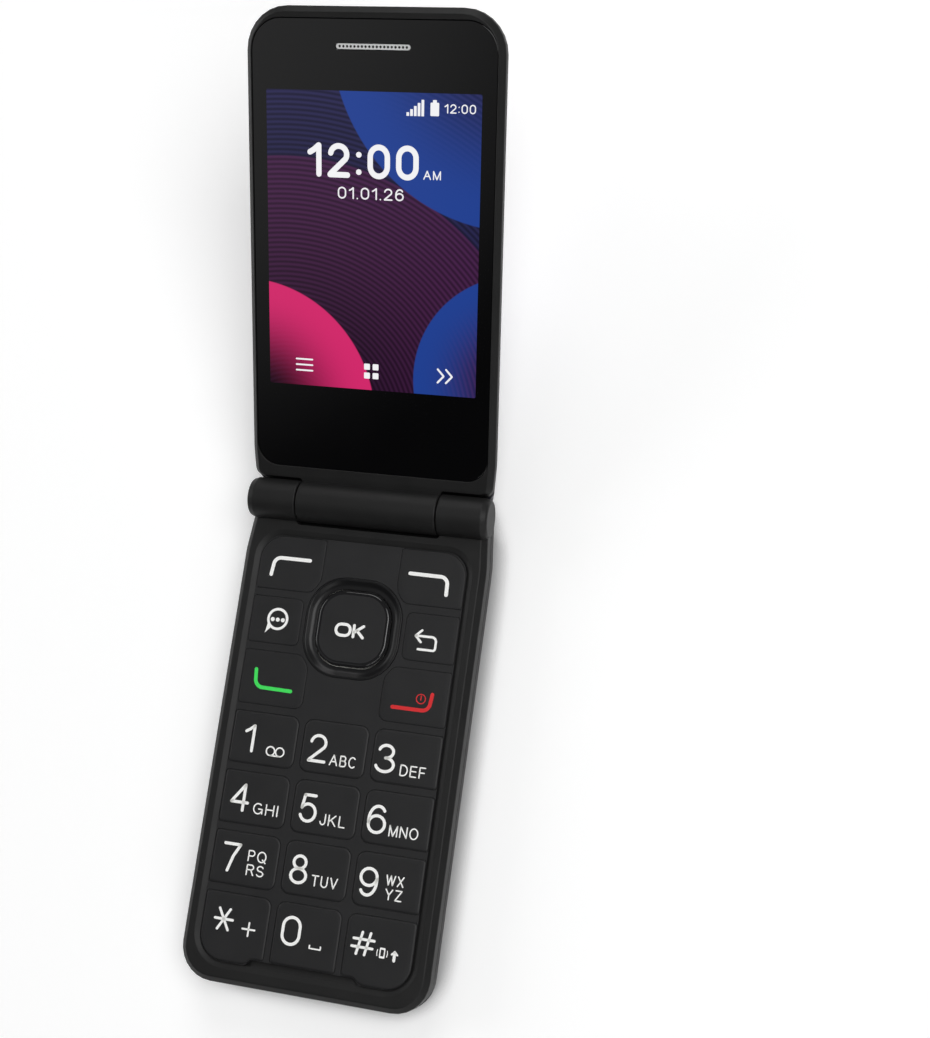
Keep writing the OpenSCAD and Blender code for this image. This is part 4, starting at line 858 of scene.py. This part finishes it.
class PHONE_OT_battery_cover(bpy.types.Operator):
    """Battery cover: the whole back as a thin shell with rounded edges and the loudspeaker's slots"""

    bl_idname = "phone.battery_cover"
    bl_label = "Battery cover"

    def execute(self, context):
        s, colours = in_millimetres(context), context.scene.phone_colours
        top, wall = s.cover_up, s.cover_wall

        def row(height, thick):
            """Plan line of the outer face, or of the inner one where the wall's thickness is given. At a height h
            a quarter circle of radius r lies r less the square root of (r squared less (r less h) squared) in."""
            side, end = (r - np.sqrt(max(r**2 - max(r - height + thick, 0) ** 2, 0)) + thick
                         for r in (s.back_round - thick, s.door_end - thick))
            depth = [side] * 3 + [end] + [thick * 0.9 + 0.05] * 3 + [end] + [side] * 2
            return raised(outline(shrunk(base_plan(s, height, 0), depth)), height)

        ease = 1 - np.cos(np.linspace(0, np.pi / 2, 14))
        rows = [row(z, 0.0) for z in np.concatenate([[0.0, 0.004], ease[1:] * (top - 0.15), [top - 0.1]])]
        rows.append(raised(outline(shrunk(base_plan(s, top, 0), 0.12)), top))
        inner = [row(z, wall) for z in np.concatenate([[top], top - (top - wall) * np.linspace(0.1, 1, 8)])]
        # the loudspeaker's slots, 8 mm long and 1 mm wide
        slots = [outline(box_corners(-17, -9, -18.5 + k * 2.4, -17.5 + k * 2.4, 0.48))
                 for k in (-1.5, -0.5, 0.5, 1.5)]
        walls = [skin([raised(line, 0.0), raised(line, wall)]) for line in slots]
        parts = [skin([*rows, *inner]), cap(0.0, rows[0][:, :2], *slots), cap(wall, inner[-1][:, :2], *slots), *walls]
        piece("battery_cover", parts, in_base, "battery_door", pearl_lacquer(colours),
              ["battery_door"])
        return {"FINISHED"}


class PHONE_OT_keypad(bpy.types.Operator):
    """Lattice and eighteen keys: each key's top sinks over a soft shoulder into the gap round it"""

    bl_idname = "phone.keypad"
    bl_label = "Keypad"

    def execute(self, context):
        s, colours = in_millimetres(context), context.scene.phone_colours
        paint_of_keys, paint_of_web = key_paint(colours), web_paint(colours)
        low, web, top = s.deck - 1.1, s.deck - 0.08, s.deck
        holes = []
        for name, (column, row) in KEYS.items():
            distance, middle = key_distance(s, column, row)
            drop = 0.15 if row > 2 else 0.07
            body = section([(0, low - 0.5), (0, top - drop, 0.08), (s.key_soft, top - 0.03, 0.3),
                            (s.key_soft * 3, top, 0.6), (s.key_soft * 4, top)])
            rows = [raised(contour(distance, middle, d), z) for d, z in body]
            bottom = cap(rows[0][0, 2], rows[0][:, :2])
            piece("cap_" + name, [skin(rows), cap(top, rows[-1][:, :2]), bottom], in_base, name, paint_of_keys,
                  [name])
            holes.append((distance, middle, s.key_gap if row > 2 else s.upper_gap))
        holes.append((ring_distance(s, s.ring), np.array([0, -s.ring_y]), s.key_gap))
        edges = [[raised(contour(distance, middle, d), z) for d, z in
                  [(-gap - 0.05, web), (-gap, web - 0.06), (-gap, web - 0.3), (0.3, web - 0.32), (0.3, low)]]
                 for distance, middle, gap in holes]
        around = [raised(outline(opening_corners(s, -d)), z) for d, z in [(0.02, low), (0.02, web - 0.1), (0.05, web)]]
        parts = [skin(rows) for rows in (*edges, around)]
        parts.append(cap(web, around[-1][:, :2], *[rows[0][:, :2] for rows in edges]))
        parts.append(cap(low, around[0][:, :2], *[rows[-1][:, :2] for rows in edges]))
        piece("keypad_lattice", parts, in_base, "base", paint_of_web, ["keypad_plate"])
        return {"FINISHED"}


class PHONE_OT_navigation(bpy.types.Operator):
    """Polished navigation ring, which dips towards the confirm key, and that key with its polished bevel"""

    bl_idname = "phone.navigation"
    bl_label = "Navigation keys"

    def execute(self, context):
        s, colours = in_millimetres(context), context.scene.phone_colours
        gloss = polished_black("polished_painted_polycarbonate", colours.keys, 0.08, 0.3)
        dish = polished_black("satin_black_polycarbonate", colours.ring, 0.3, 0.0, level=0.3)
        middle, plan, top = np.array([0, -s.ring_y]), ring_distance(s, s.ring), s.deck
        inner = s.ring - s.okay
        width = inner - 0.2
        body = section([(0, top - 1), (0, top + 0.02, 0.12), (0.45, top + 0.06, 0.25), (1.45, top - 0.65, 1.6),
                        (width, top - 0.75, 0.1), (width, top - 1)], 10)
        rows = [raised(contour(plan, middle, d, 256), z) for d, z in body]
        piece("ring_cap", [skin(rows, close=True)], in_base, "nav_ring", dish, ["nav_ring"])
        foot = top - 1.6
        bevel = section([(inner, foot), (inner, top - 0.45, 0.1), (inner + 0.45, top, 0.45), (inner + 1, top)], 10)
        sides = [raised(contour(plan, middle, d, 256), z) for d, z in bevel]
        parts = [(*skin(sides), 1), cap(top, sides[-1][:, :2]), (*cap(foot, sides[0][:, :2]), 1)]
        piece("cap_key_ok", parts, in_base, "key_ok", [key_paint(colours), gloss], ["key_ok"])
        return {"FINISHED"}


# Printed signs of each key with their left, right, lower and upper edges, in millimetres from the hinge axis.
DIGITS = {"key_1": [("1", -20.4, -18.0, -55.2, -49.2)],
          "key_2": [("2", -5.65, -1.5, -55.4, -49.4), ("ABC", -0.7, 5.3, -55.6, -53.2)],
          "key_3": [("3", 9.4, 13.7, -55.6, -49.5), ("DEF", 14.9, 20.5, -55.7, -53.3)],
          "key_4": [("4", -21.3, -17.0, -67.8, -61.8), ("GHI", -15.9, -10.25, -67.85, -65.45)],
          "key_5": [("5", -5.7, -1.7, -68.0, -61.95), ("JKL", -0.85, 4.8, -68.05, -65.65)],
          "key_6": [("6", 9.45, 13.65, -68.2, -62.15), ("MNO", 14.4, 20.8, -68.25, -65.85)],
          "key_7": [("7", -21.1, -17.0, -80.5, -74.3), ("PQ", -15.35, -11.2, -77.7, -75.3),
                    ("RS", -15.3, -11.35, -80.6, -78.25)],
          "key_8": [("8", -5.7, -1.7, -80.75, -74.6), ("TUV", -0.7, 5.1, -80.65, -78.3)],
          "key_9": [("9", 9.55, 13.7, -80.95, -74.9), ("WX", 15.3, 19.2, -78.1, -75.9),
                    ("YZ", 15.5, 19.2, -81.0, -78.7)],
          "key_0": [("0", -5.55, -1.2, -93.3, -87.2)],
          "key_hash": [("#", 9.75, 15.0, -92.8, -87.8)]}
# Pen lines of each key and the pen's width. A point may give the radius of the bend there.
STROKES = {
    "key_soft_left": [([(-20.2, -16.65), (-19.8, -12.85, 1.6), (-11.75, -12.85)], 0.8)],
    "key_soft_right": [([(11.0, -13.2), (19.4, -13.25, 1.6), (19.5, -17.0)], 0.8)],
    "key_back": [([(14.2, -26.25), (18.75, -26.2, 1.0), (18.75, -29.05, 0.5), (15.0, -29.05)], 0.5),
                 ([(15.45, -25.0), (14.15, -26.25, 0.1), (15.45, -27.5)], 0.5)],
    "key_call": [([(-20.1, -37.45), (-19.75, -41.2, 1.8), (-11.65, -41.3)], 0.8)],
    "key_end": [([(19.6, -38.15), (19.2, -41.7, 1.6), (11.3, -41.7)], 0.8), ([(17.25, -38.7), (17.25, -39.55)], 0.24)],
    "key_ok": [([(0.4, -25.65), (0.4, -28.1)], 0.62), ([(2.5, -25.65), (0.55, -27.1)], 0.62),
               ([(1.15, -26.75), (2.55, -28.1)], 0.62)],
    "key_star": [([(-20.5, -90.15), (-16.5, -90.15)], 0.55), ([(-19.7, -88.03), (-17.3, -92.27)], 0.55),
                 ([(-17.3, -88.03), (-19.7, -92.27)], 0.55), ([(-14.1, -91.45), (-11.35, -91.45)], 0.38),
                 ([(-12.72, -90.1), (-12.72, -92.8)], 0.38)],
    "key_0": [([(1.05, -92.5), (1.05, -93.08, 0.05), (3.45, -93.08, 0.05), (3.45, -92.5)], 0.3)],
    "key_1": [([(-14.0, -55.29), (-11.9, -55.29)], 0.3)],
    "key_hash": [([(19.34, -92.7), (19.34, -91.2)], 0.62),
                 ([(18.75, -91.5), (19.34, -90.9, 0.05), (19.93, -91.5)], 0.4),
                 ([(15.65, -91.0), (15.55, -91.6, 0.6), (15.65, -92.2)], 0.18),
                 ([(17.75, -91.0), (17.85, -91.6, 0.6), (17.75, -92.2)], 0.18)],
}


class PHONE_OT_legends(bpy.types.Operator):
    """Printed numerals, letters and marks of the keys, as thin plates on the key tops"""

    bl_idname = "phone.legends"
    bl_label = "Legends"

    def execute(self, context):
        s, colours = in_millimetres(context), context.scene.phone_colours
        white = ink("white_laser_print", colours.legend, 0.12)
        tint = {"key_call": ink("green_print", colours.call, 0.25), "key_end": ink("red_print", colours.hang_up, 0.15)}
        low, high = s.deck - 0.01, s.deck + 0.015
        marks = {name: [] for name in [*KEYS, "key_ok"]}
        for name, words in DIGITS.items():
            for word in words:
                pen = 0.28 if word[0].isalpha() else 0.55 if word[0] == "#" else 0.64
                marks[name] += writing(*word, pen, low, high)
        for name, lines in STROKES.items():
            marks[name] += pen_marks(lines, low, high)
        for x in (-14.03, -11.92):  # both rings of the voice mail sign
            marks["key_1"] += slab(circle((x, -54.36), 1.08), low, high, circle((x, -54.36), 0.78))
        # ring of the power sign, the ringing phone, the O of OK, and a speech bubble with its tail and three dots
        marks["key_end"] += slab(circle((17.25, -39.35), 1.08, 40), low, high, circle((17.25, -39.35), 0.88, 40))
        marks["key_hash"] += slab(outline(box_corners(16.1, 17.3, -92.6, -90.5, 0.2)), low, high,
                                  outline(box_corners(16.35, 17.05, -92.2, -90.9, 0.1)))
        round_o = outline(box_corners(-3.6, -0.4, -28.05, -25.65, 1.15))
        marks["key_ok"] += slab(ribbon(np.vstack([round_o, round_o[:1]]), 0.64), low, high)
        bubble = circle((-17.07, -26.2), 2.42, 64)
        bubble = np.vstack([bubble[:38], [[-19.55, -29.4]], bubble[42:]])
        marks["key_message"] += slab(bubble, low, high, circle((-17.07, -26.2), 1.86, 48))
        for x in (-18.2, -17.05, -15.88):
            marks["key_message"] += slab(circle((x, -26.35), 0.46, 20), low, high)
        for name, parts in marks.items():
            piece("legend_" + name, parts, in_base, name, tint.get(name, white))
        return {"FINISHED"}


def lid_plan(s, height, depth, knuckle_depth=None):
    """Plan of the lid's frame at one height (towards the viewer, from the hinge axis), shrunk by a depth. Beside
    the centre barrel it ends on a cylinder of clear radius about the axis."""
    wide, tongue, clear = s.half, s.barrel_half, s.barrel + s.hinge_gap
    near = np.sqrt(clear**2 - height**2)
    foot = wide - s.taper / (s.shoulder + s.over) * (s.shoulder - near)
    corners = [(-foot, near, 2.2), (-tongue, near, 0.5), (-tongue, 1.0, 0.05), (tongue, 1.0, 0.05),
               (tongue, near, 0.5), (foot, near, 2.2), (wide, s.shoulder, s.side_bend),
               (wide, s.reach, s.lid_corner), (-wide, s.reach, s.lid_corner), (-wide, s.shoulder, s.side_bend)]
    edge = depth if knuckle_depth is None else knuckle_depth
    return shrunk(corners, [edge, 0, 0, 0, edge] + [depth] * 5)


def lens_plan(s):
    """Corners of the lens: the two at the free end are rounder."""
    x, near, far = s.lens, s.lens_near, s.lens_far
    return np.array([(-x, near, s.lens_round), (x, near, s.lens_round), (x, far, s.lens_top), (-x, far, s.lens_top)])


class PHONE_OT_lid_frame(bpy.types.Operator):
    """Inner frame of the lid round the lens, with the hinge's centre barrel"""

    bl_idname = "phone.lid_frame"
    bl_label = "Lid frame"

    def execute(self, context):
        s, colours = in_millimetres(context), context.scene.phone_colours
        face, seam = -s.gap / 2, -s.gap / 2 - s.lid_seam
        floor = face - 1.2
        outer = section([(0.15, seam), (0, seam + 0.15, 0.15), (0, face - s.chamfer, 0.4), (s.chamfer, face, 0.35),
                         (s.chamfer + 0.1, face)])
        # the chamfer is only about a third as wide beside the knuckles
        rows = [raised(outline(lid_plan(s, z, d, 0.35 * min(d, s.chamfer))), z) for d, z in outer]
        seat = section([(-0.22, face), (-0.12, face - 0.08, 0.05), (-0.12, floor)], 3)
        inside = [raised(outline(shrunk(lens_plan(s), d), 16), z) for d, z in seat]
        parts = [skin(rows), skin(inside), cap(seam, rows[0][:, :2]), cap(floor, inside[-1][:, :2]),
                 cap(face, rows[-1][:, :2], inside[0][:, :2])]
        barrel = section([(-s.barrel_half, 0), (-s.barrel_half, s.barrel, 0.3), (s.barrel_half, s.barrel, 0.3),
                          (s.barrel_half, 0)])
        parts.append(lathe(barrel))
        piece("lid_bezel", parts, in_lid, "lid", case_moulding(colours), ["lid_frame"])
        return {"FINISHED"}


class PHONE_OT_lid_cover(bpy.types.Operator):
    """Outer cover of the lid: a rounded shell with a window, a camera hole and a tongue over the hinge"""

    bl_idname = "phone.lid_cover"
    bl_label = "Lid cover"

    def execute(self, context):
        s, colours = in_millimetres(context), context.scene.phone_colours
        back, seam = -s.gap / 2 - s.lid, -s.gap / 2 - s.lid_seam
        wide, tongue, clear = s.half, s.barrel_half, s.barrel + s.hinge_gap

        def row(height):
            """Corners at one height. The sides follow a quarter circle of the back rounding and the tongue one of
            its own. Beside it the cover passes the axis by 1.2 mm, or ends on the cylinder of the knuckles."""
            side, end = (r - np.sqrt(max(r**2 - max(r - height + back, 0) ** 2, 0)) for r in (s.back_round, s.lid_end))
            end -= s.over
            knuckle = max(end + 0.03, -1.2 if -height >= clear - 0.13 else np.sqrt(clear**2 - height**2))
            foot = wide - s.taper / (s.shoulder + s.over) * (s.shoulder - knuckle)
            soft = 0.3 if knuckle > end + 0.6 else 0.02
            corners = [(-foot, knuckle, 1.6), (-tongue, knuckle, soft), (-tongue, end, soft), (tongue, end, soft),
                       (tongue, knuckle, soft), (foot, knuckle, 1.6), (wide, s.shoulder, s.side_bend),
                       (wide, s.reach, s.lid_corner), (-wide, s.reach, s.lid_corner),
                       (-wide, s.shoulder, s.side_bend)]
            return shrunk(corners, [0] * 5 + [side] * 5)

        ease = (1 - np.cos(np.linspace(0, np.pi / 2, 20))) * (seam - back - 0.12)
        heights = back + np.concatenate([[0.0], ease[1:]])
        rows = [raised(outline(row(h)), h) for h in heights]
        rows.append(raised(outline(shrunk(row(seam), 0.12)), seam))
        window = outline(box_about(s.window_y, s.window + 0.1, s.window_tall + 0.1, s.window_round + 0.1))
        camera = outline(box_about(s.camera_y, s.camera + 0.1, s.camera + 0.1, s.camera_round + 0.1))
        inside = back + s.cover_wall
        parts = [skin(rows), cap(seam, rows[-1][:, :2]), cap(back, rows[0][:, :2], window, camera)]
        for hole in (window, camera):
            parts += [skin([raised(hole, back), raised(hole, inside)]), cap(inside, hole)]
        piece("lid_shell", parts, in_lid, "lid", pearl_lacquer(colours), ["lid_cover"])
        return {"FINISHED"}


class PHONE_OT_lens(bpy.types.Operator):
    """Glossy lens over the main display, with the earpiece's slot and its punched grille"""

    bl_idname = "phone.lens"
    bl_label = "Lens"

    def execute(self, context):
        s, colours = in_millimetres(context), context.scene.phone_colours
        top, low = -s.gap / 2 - s.lens_drop, -s.gap / 2 - 1.1
        edge = section([(0, low), (0, top - 0.15, 0.0), (0, top, 0.12), (0.2, top)], 5)
        rows = [raised(outline(shrunk(lens_plan(s), d), 24), z) for d, z in edge]
        slot = box_about(s.slot_y, s.slot + 0.1, 0.62, 0.61)
        mouth = section([(-0.1, top), (0, top - 0.1, 0.05), (0, low)], 4)
        mouth = [raised(outline(shrunk(slot, d)), z) for d, z in mouth]
        parts = [skin(rows), skin(mouth), cap(top, rows[-1][:, :2], mouth[0][:, :2]),
                 cap(low, rows[0][:, :2], mouth[-1][:, :2])]
        black = polished_black("black_printed_acrylic", colours.lens, 0.05)
        piece("lens", parts, in_lid, "lid", black, ["display_window"])
        strip = outline(box_about(s.slot_y, s.slot, 0.54, 0.53))
        dots = [circle((x, s.slot_y), 0.26, 14) for x in np.linspace(-s.slot + 0.75, s.slot - 0.75, 19)]
        metal = worked_metal("punched_steel_mesh", "#f2f2f2", 0.35, metal=0.3)
        plate = slab(strip, top - 0.35, top - 0.2, *dots)
        backing = slab(strip, top - 0.75, top - 0.6)
        dark = moulded("black_dust_felt", linear("#080808"), 0.2, 0.5, 0.8)
        parts = [*plate, *[(*part, 1) for part in backing]]
        piece("earpiece_mesh", parts, in_lid, "lid", [metal, dark], ["earpiece_grille"])
        return {"FINISHED"}


class PHONE_OT_main_picture(bpy.types.Operator):
    """Lit picture of the main display with a plain clock, plain numbers for the date and plain signs"""

    bl_idname = "phone.main_picture"
    bl_label = "Main picture"

    def execute(self, context):
        s, colours = in_millimetres(context), context.scene.phone_colours
        face = -s.gap / 2 - s.lens_drop
        low, high, top = face - 0.01, face + 0.01, face + 0.02
        x, near, far = s.picture, s.picture_near, s.picture_far
        plate = slab(outline(box_corners(-x, x, near, far, 0.3)), low, high)
        glow = picture_light("lit_main_picture", colours, 2 * x, far - near)
        piece("main_picture", plate, in_lid, "lid", glow, flat_map=(-x, x, near, far))
        parts = [*writing("12:00", -14.0, 9.9, 69.7, 76.6, 1.15, high, top),
                 *writing("AM", 10.9, 14.6, 70.0, 71.8, 0.24, high, top),
                 *writing("01.01.26", -7.4, 6.8, 65.5, 67.9, 0.3, high, top),
                 *writing("12:00", 15.1, 21.6, 83.1, 84.9, 0.24, high, top)]
        bars = [(7.2 + k * 0.78, 7.76 + k * 0.78, 82.4, 83.1 + k * 0.62, 0.05) for k in range(5)]
        battery = [(12.2, 14.0, 82.5, 85.1, 0.2), (12.7, 13.5, 85.05, 85.6, 0.1)]
        menu = [(x - 0.65, x + 0.65, y - 0.65, y + 0.65, 0.2) for x in (-0.95, 0.95) for y in (28.95, 30.85)]
        for box in (*bars, *battery, *menu):
            parts += slab(outline(box_corners(*box)), high, top)
        strokes = [([(-16.8, y), (-13.2, y)], 0.35) for y in (29.1, 30.3, 31.5)]
        strokes += [([(x, 28.6), (x + 1.3, 30.0, 0.1), (x, 31.4)], 0.4) for x in (14.6, 16.4)]
        parts += pen_marks(strokes, high, top)
        piece("main_figures", parts, in_lid, "lid", lit_figures())
        return {"FINISHED"}


class PHONE_OT_outer_picture(bpy.types.Operator):
    """Outer window of the lid with its small lit picture, clock and numbers"""

    bl_idname = "phone.outer_picture"
    bl_label = "Outer picture"

    def execute(self, context):
        s, colours = in_millimetres(context), context.scene.phone_colours
        back = -s.gap / 2 - s.lid
        face, low, half = back - 0.012, back + 0.95, s.outer_picture
        plan = box_about(s.window_y, s.window, s.window_tall, s.window_round)
        edge = section([(0, low), (0, back + 0.12, 0.02), (0.12, back, 0.1), (0.3, back)], 4)
        rows = [raised(outline(shrunk(plan, d), 8), z) for d, z in edge]
        black = polished_black("black_printed_acrylic", colours.lens, 0.05)
        piece("outer_lens", [skin(rows), cap(back, rows[-1][:, :2]), cap(low, rows[0][:, :2])], in_lid, "lid", black,
              ["outer_window"])
        # This face is read with the hinge up, so the picture's top lies at the hinge and its foot further out.
        plate = slab(outline(box_about(s.window_y, half, half, 0.3)), face, back + 0.01)
        glow = picture_light("lit_outer_picture", colours, 2 * half, 2 * half)
        piece("outer_picture", plate, in_lid, "lid", glow,
              flat_map=(-half, half, s.window_y + half, s.window_y - half))
        parts = [*writing("AM", -1.9, 1.9, 4.4, 6.2, 0.3, 0, 1), *writing("12:00", -7.6, 7.6, -2.4, 2.2, 0.85, 0, 1),
                 *writing("01.01.26", -5.6, 5.6, -6.2, -4.3, 0.3, 0, 1),
                 *slab(outline(box_corners(10.1, 11.9, 9.9, 12.8, 0.25)), 0, 1),
                 *slab(outline(box_corners(10.6, 11.4, 12.75, 13.3, 0.1)), 0, 1)]
        parts = [(np.column_stack([spots[:, 0], s.window_y - spots[:, 1], face - 0.01 * spots[:, 2]]), faces)
                 for spots, faces in parts]
        piece("outer_figures", parts, in_lid, "lid", lit_figures())
        return {"FINISHED"}


class PHONE_OT_camera_surround(bpy.types.Operator):
    """Camera's rounded surround with a polished bevel, and its glass, which is dished in the middle"""

    bl_idname = "phone.camera_surround"
    bl_label = "Camera"

    def execute(self, context):
        s, colours = in_millimetres(context), context.scene.phone_colours
        back = -s.gap / 2 - s.lid
        top, foot, lens = back - 0.4, back + 1.3, back + 0.35
        middle, well = np.array([0, s.camera_y]), s.camera_well
        plan = rounded_box(-s.camera, s.camera, s.camera_y - s.camera, s.camera_y + s.camera, s.camera_round)
        body = section([(0, foot), (0, top + 0.3, 0.05), (0.3, top, 0.2), (0.9, top, 0.1)], 5)
        rows = [raised(contour(plan, middle, d, 96), z) for d, z in body]
        bore = section([(well + 0.25, top), (well, top + 0.25, 0.1), (well, foot)], 4)
        bore = [raised(circle(middle, r, 96), z) for r, z in bore]
        parts = [skin(rows), skin(bore), cap(top, rows[-1][:, :2], bore[0][:, :2]),
                 cap(foot, rows[0][:, :2], bore[-1][:, :2])]
        gloss = polished_black("polished_black_polycarbonate", colours.gloss, 0.09)
        piece("camera_bezel", parts, in_lid, "lid", gloss, ["camera_ring"])
        glass = section([(0, lens + 0.3), (0.85, lens + 0.25, 0.2), (1.15, lens + 0.05, 0.1), (1.5, lens + 0.05, 0.1),
                         (1.9, lens, 0.1), (well - 0.12, lens, 0.02), (well - 0.12, back + 0.9, 0.02),
                         (0, back + 0.9)], 4)
        piece("camera_glass", [dial(glass, middle, 64)], in_lid, "lid", camera_glass(),
              ["camera_window"])
        return {"FINISHED"}


class PHONE_OT_volume_key(bpy.types.Operator):
    """Volume rocker: a slim bar with soft edges, a little proud of the side"""

    bl_idname = "phone.volume_key"
    bl_label = "Volume key"

    def execute(self, context):
        s, colours = in_millimetres(context), context.scene.phone_colours
        low, high = (np.array(corner) * 1000 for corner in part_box("volume_key"))
        low[0] = -s.half - s.rocker
        y0, y1 = low[1] - AXIS[1] + 0.8, high[1] - AXIS[1] - 0.8
        plan = np.array(box_corners(y0, y1, low[2], high[2], 0.9))
        body = section([(0, high[0] - 0.6), (0, low[0] + 0.25, 0.05), (0.25, low[0], 0.2), (0.6, low[0])], 5)
        rows = [outline(shrunk(plan, d)) for d, _ in body]
        rows = [np.column_stack([np.full(len(line), x), line]) for line, (_, x) in zip(rows, body)]
        ends = [(line, np.arange(len(line))[None, :]) for line in (rows[0], rows[-1])]
        piece("volume_bar", [skin(rows), *ends], in_base, "volume_key", case_moulding(colours),
              ["volume_key"])
        return {"FINISHED"}


class PHONE_OT_inner_parts(bpy.types.Operator):
    """Finishes of the parts that stay as they are: frame, boards, battery, metal parts, rubber and screws"""

    bl_idname = "phone.inner_parts"
    bl_label = "Inner parts"

    def execute(self, context):
        colours = context.scene.phone_colours
        finishes = {
            case_moulding(colours): ["rear_case"],
            worked_metal("stamped_steel", "#a3a3a5", 0.38): [
                "board_shield", "sim_socket", "vibration_motor", "microphone", "base_screws", "hinge_cartridge",
                "hinge_spring", "hinge_shaft", "lid_magnet", "lid_screws", "usb_port"],
            worked_metal("gold_plated_contacts", "#c39a45", 0.3): ["battery_contacts", "hinge_flex", "antenna"],
            solder_mask(): ["main_board", "lid_board"],
            moulded("battery_label_film", linear("#3b3b3e"), 1.2, 0.2, 0.4): ["battery_pack"],
            moulded("dark_silicone_rubber", linear("#38383a"), 0.5, 0.4, 0.7): ["keypad_mat"],
            moulded("clear_dome_film", linear("#bdbdb6"), 0.8, 0.2, 0.35): ["dome_sheet"],
            moulded("natural_acetal", linear("#cfcfc8"), 0.3, 0.3, 0.5): ["nav_rocker"],
            moulded("black_glass_filled_nylon", linear("#1a1a1a"), 0.3, 0.5, 0.55): [
                "headset_jack", "loudspeaker", "hinge_bush", "earpiece_receiver", "camera_module"],
            moulded("dark_display_stack", linear("#15161f"), 1.0, 0.1, 0.2): ["display_module", "outer_display"],
        }
        for finish, names in finishes.items():
            for name in names:
                mesh = frame["nodes"][name].data
                mesh.materials.clear()
                mesh.materials.append(finish)
        return {"FINISHED"}


# ---- stage ----

# The lamps: name, place and size (across, along) in metres, and power in watts. All face LIT_SPOT.
LAMPS = (("right", (0.55, 0.15, 1.25), (1.1, 1.1), 11.5), ("left", (-1.2, 0.25, 0.6), (0.9, 0.9), 4.5),
         ("back", (-0.1, 1.3, 0.9), (0.9, 0.9), 6.0), ("front", (0.6, -1.05, 0.6), (1.2, 0.14), 3.5))
LIT_SPOT = Vector((0.0, 0.045, 0.0))
# The camera: its place in metres, the ways of its view and of its top, and its focal length in picture heights.
EYE_PLACE = Vector((0.1036, -0.0016, 0.3276))
EYE_AHEAD, EYE_UP = Vector((-0.2481, 0.1593, -0.9555)).normalized(), Vector((-0.0948, 0.9777, 0.1876))
FOCAL_LENGTH = 1557.6 / 1038


class PHONE_OT_stage(bpy.types.Operator):
    """Pale floor, soft lamps, world and camera"""

    bl_idname = "phone.stage"
    bl_label = "Stage"

    def execute(self, context):
        scene = context.scene
        half, under = 4.0, -2e-5  # the floor lies just below the phone, so that no two faces share a plane
        mesh = bpy.data.meshes.new("floor")
        corners = [(-half, -half, under), (half, -half, under), (half, half, under), (-half, half, under)]
        mesh.from_pydata(corners, [], [(0, 1, 2, 3)])
        mesh.materials.append(paper_sweep(scene.phone_colours))
        floor = bpy.data.objects.new("floor", mesh)
        scene.collection.objects.link(floor)
        scene.world = studio_world()

        for name, spot, size, power in LAMPS:
            lamp = bpy.data.lights.new(name, "AREA")
            lamp.shape, (lamp.size, lamp.size_y), lamp.energy = "ELLIPSE", size, power
            thing = bpy.data.objects.new(name, lamp)
            thing.location = spot
            thing.rotation_euler = (LIT_SPOT - Vector(spot)).to_track_quat("-Z", "Y").to_euler()
            scene.collection.objects.link(thing)

        lens = bpy.data.cameras.new("camera")
        lens.lens = FOCAL_LENGTH * lens.sensor_width
        lens.clip_start, lens.clip_end = 0.01, 20.0
        eye = bpy.data.objects.new("camera", lens)
        scene.collection.objects.link(eye)
        side = EYE_AHEAD.cross(EYE_UP).normalized()
        turn = Matrix((side, side.cross(EYE_AHEAD), -EYE_AHEAD)).transposed().to_4x4()
        eye.matrix_world = Matrix.Translation(EYE_PLACE) @ turn
        scene.camera = eye
        scene.view_settings.view_transform = "Standard"
        return {"FINISHED"}


OPERATORS = (PHONE_OT_front_shell, PHONE_OT_battery_cover, PHONE_OT_keypad, PHONE_OT_navigation, PHONE_OT_legends,
             PHONE_OT_lid_frame, PHONE_OT_lid_cover, PHONE_OT_lens, PHONE_OT_main_picture, PHONE_OT_outer_picture,
             PHONE_OT_camera_surround, PHONE_OT_volume_key, PHONE_OT_inner_parts, PHONE_OT_stage)


class PHONE_PT_sidebar(bpy.types.Panel):
    """Lists the pieces and the sizes and colours from which they are made"""

    bl_idname = "PHONE_PT_sidebar"
    bl_label = "Flip phone"
    bl_space_type = "VIEW_3D"
    bl_region_type = "UI"
    bl_category = "Flip phone"

    def draw(self, context):
        for operator in OPERATORS:
            self.layout.operator(operator.bl_idname)
        for group in (context.scene.phone_sizes, context.scene.phone_colours):
            for name in group.__annotations__:
                self.layout.prop(group, name)


CLASSES = (PhoneSizes, PhoneColours, *OPERATORS, PHONE_PT_sidebar)


def register():
    for made in CLASSES:
        bpy.utils.register_class(made)
    bpy.types.Scene.phone_sizes = PointerProperty(type=PhoneSizes)
    bpy.types.Scene.phone_colours = PointerProperty(type=PhoneColours)


def unregister():
    del bpy.types.Scene.phone_sizes, bpy.types.Scene.phone_colours
    for made in reversed(CLASSES):
        bpy.utils.unregister_class(made)


def main():
    """Makes the whole phone and its stage."""
    register()
    for operator in OPERATORS:
        group, name = operator.bl_idname.split(".")
        getattr(getattr(bpy.ops, group), name)()


if __name__ == "__main__":
    main()
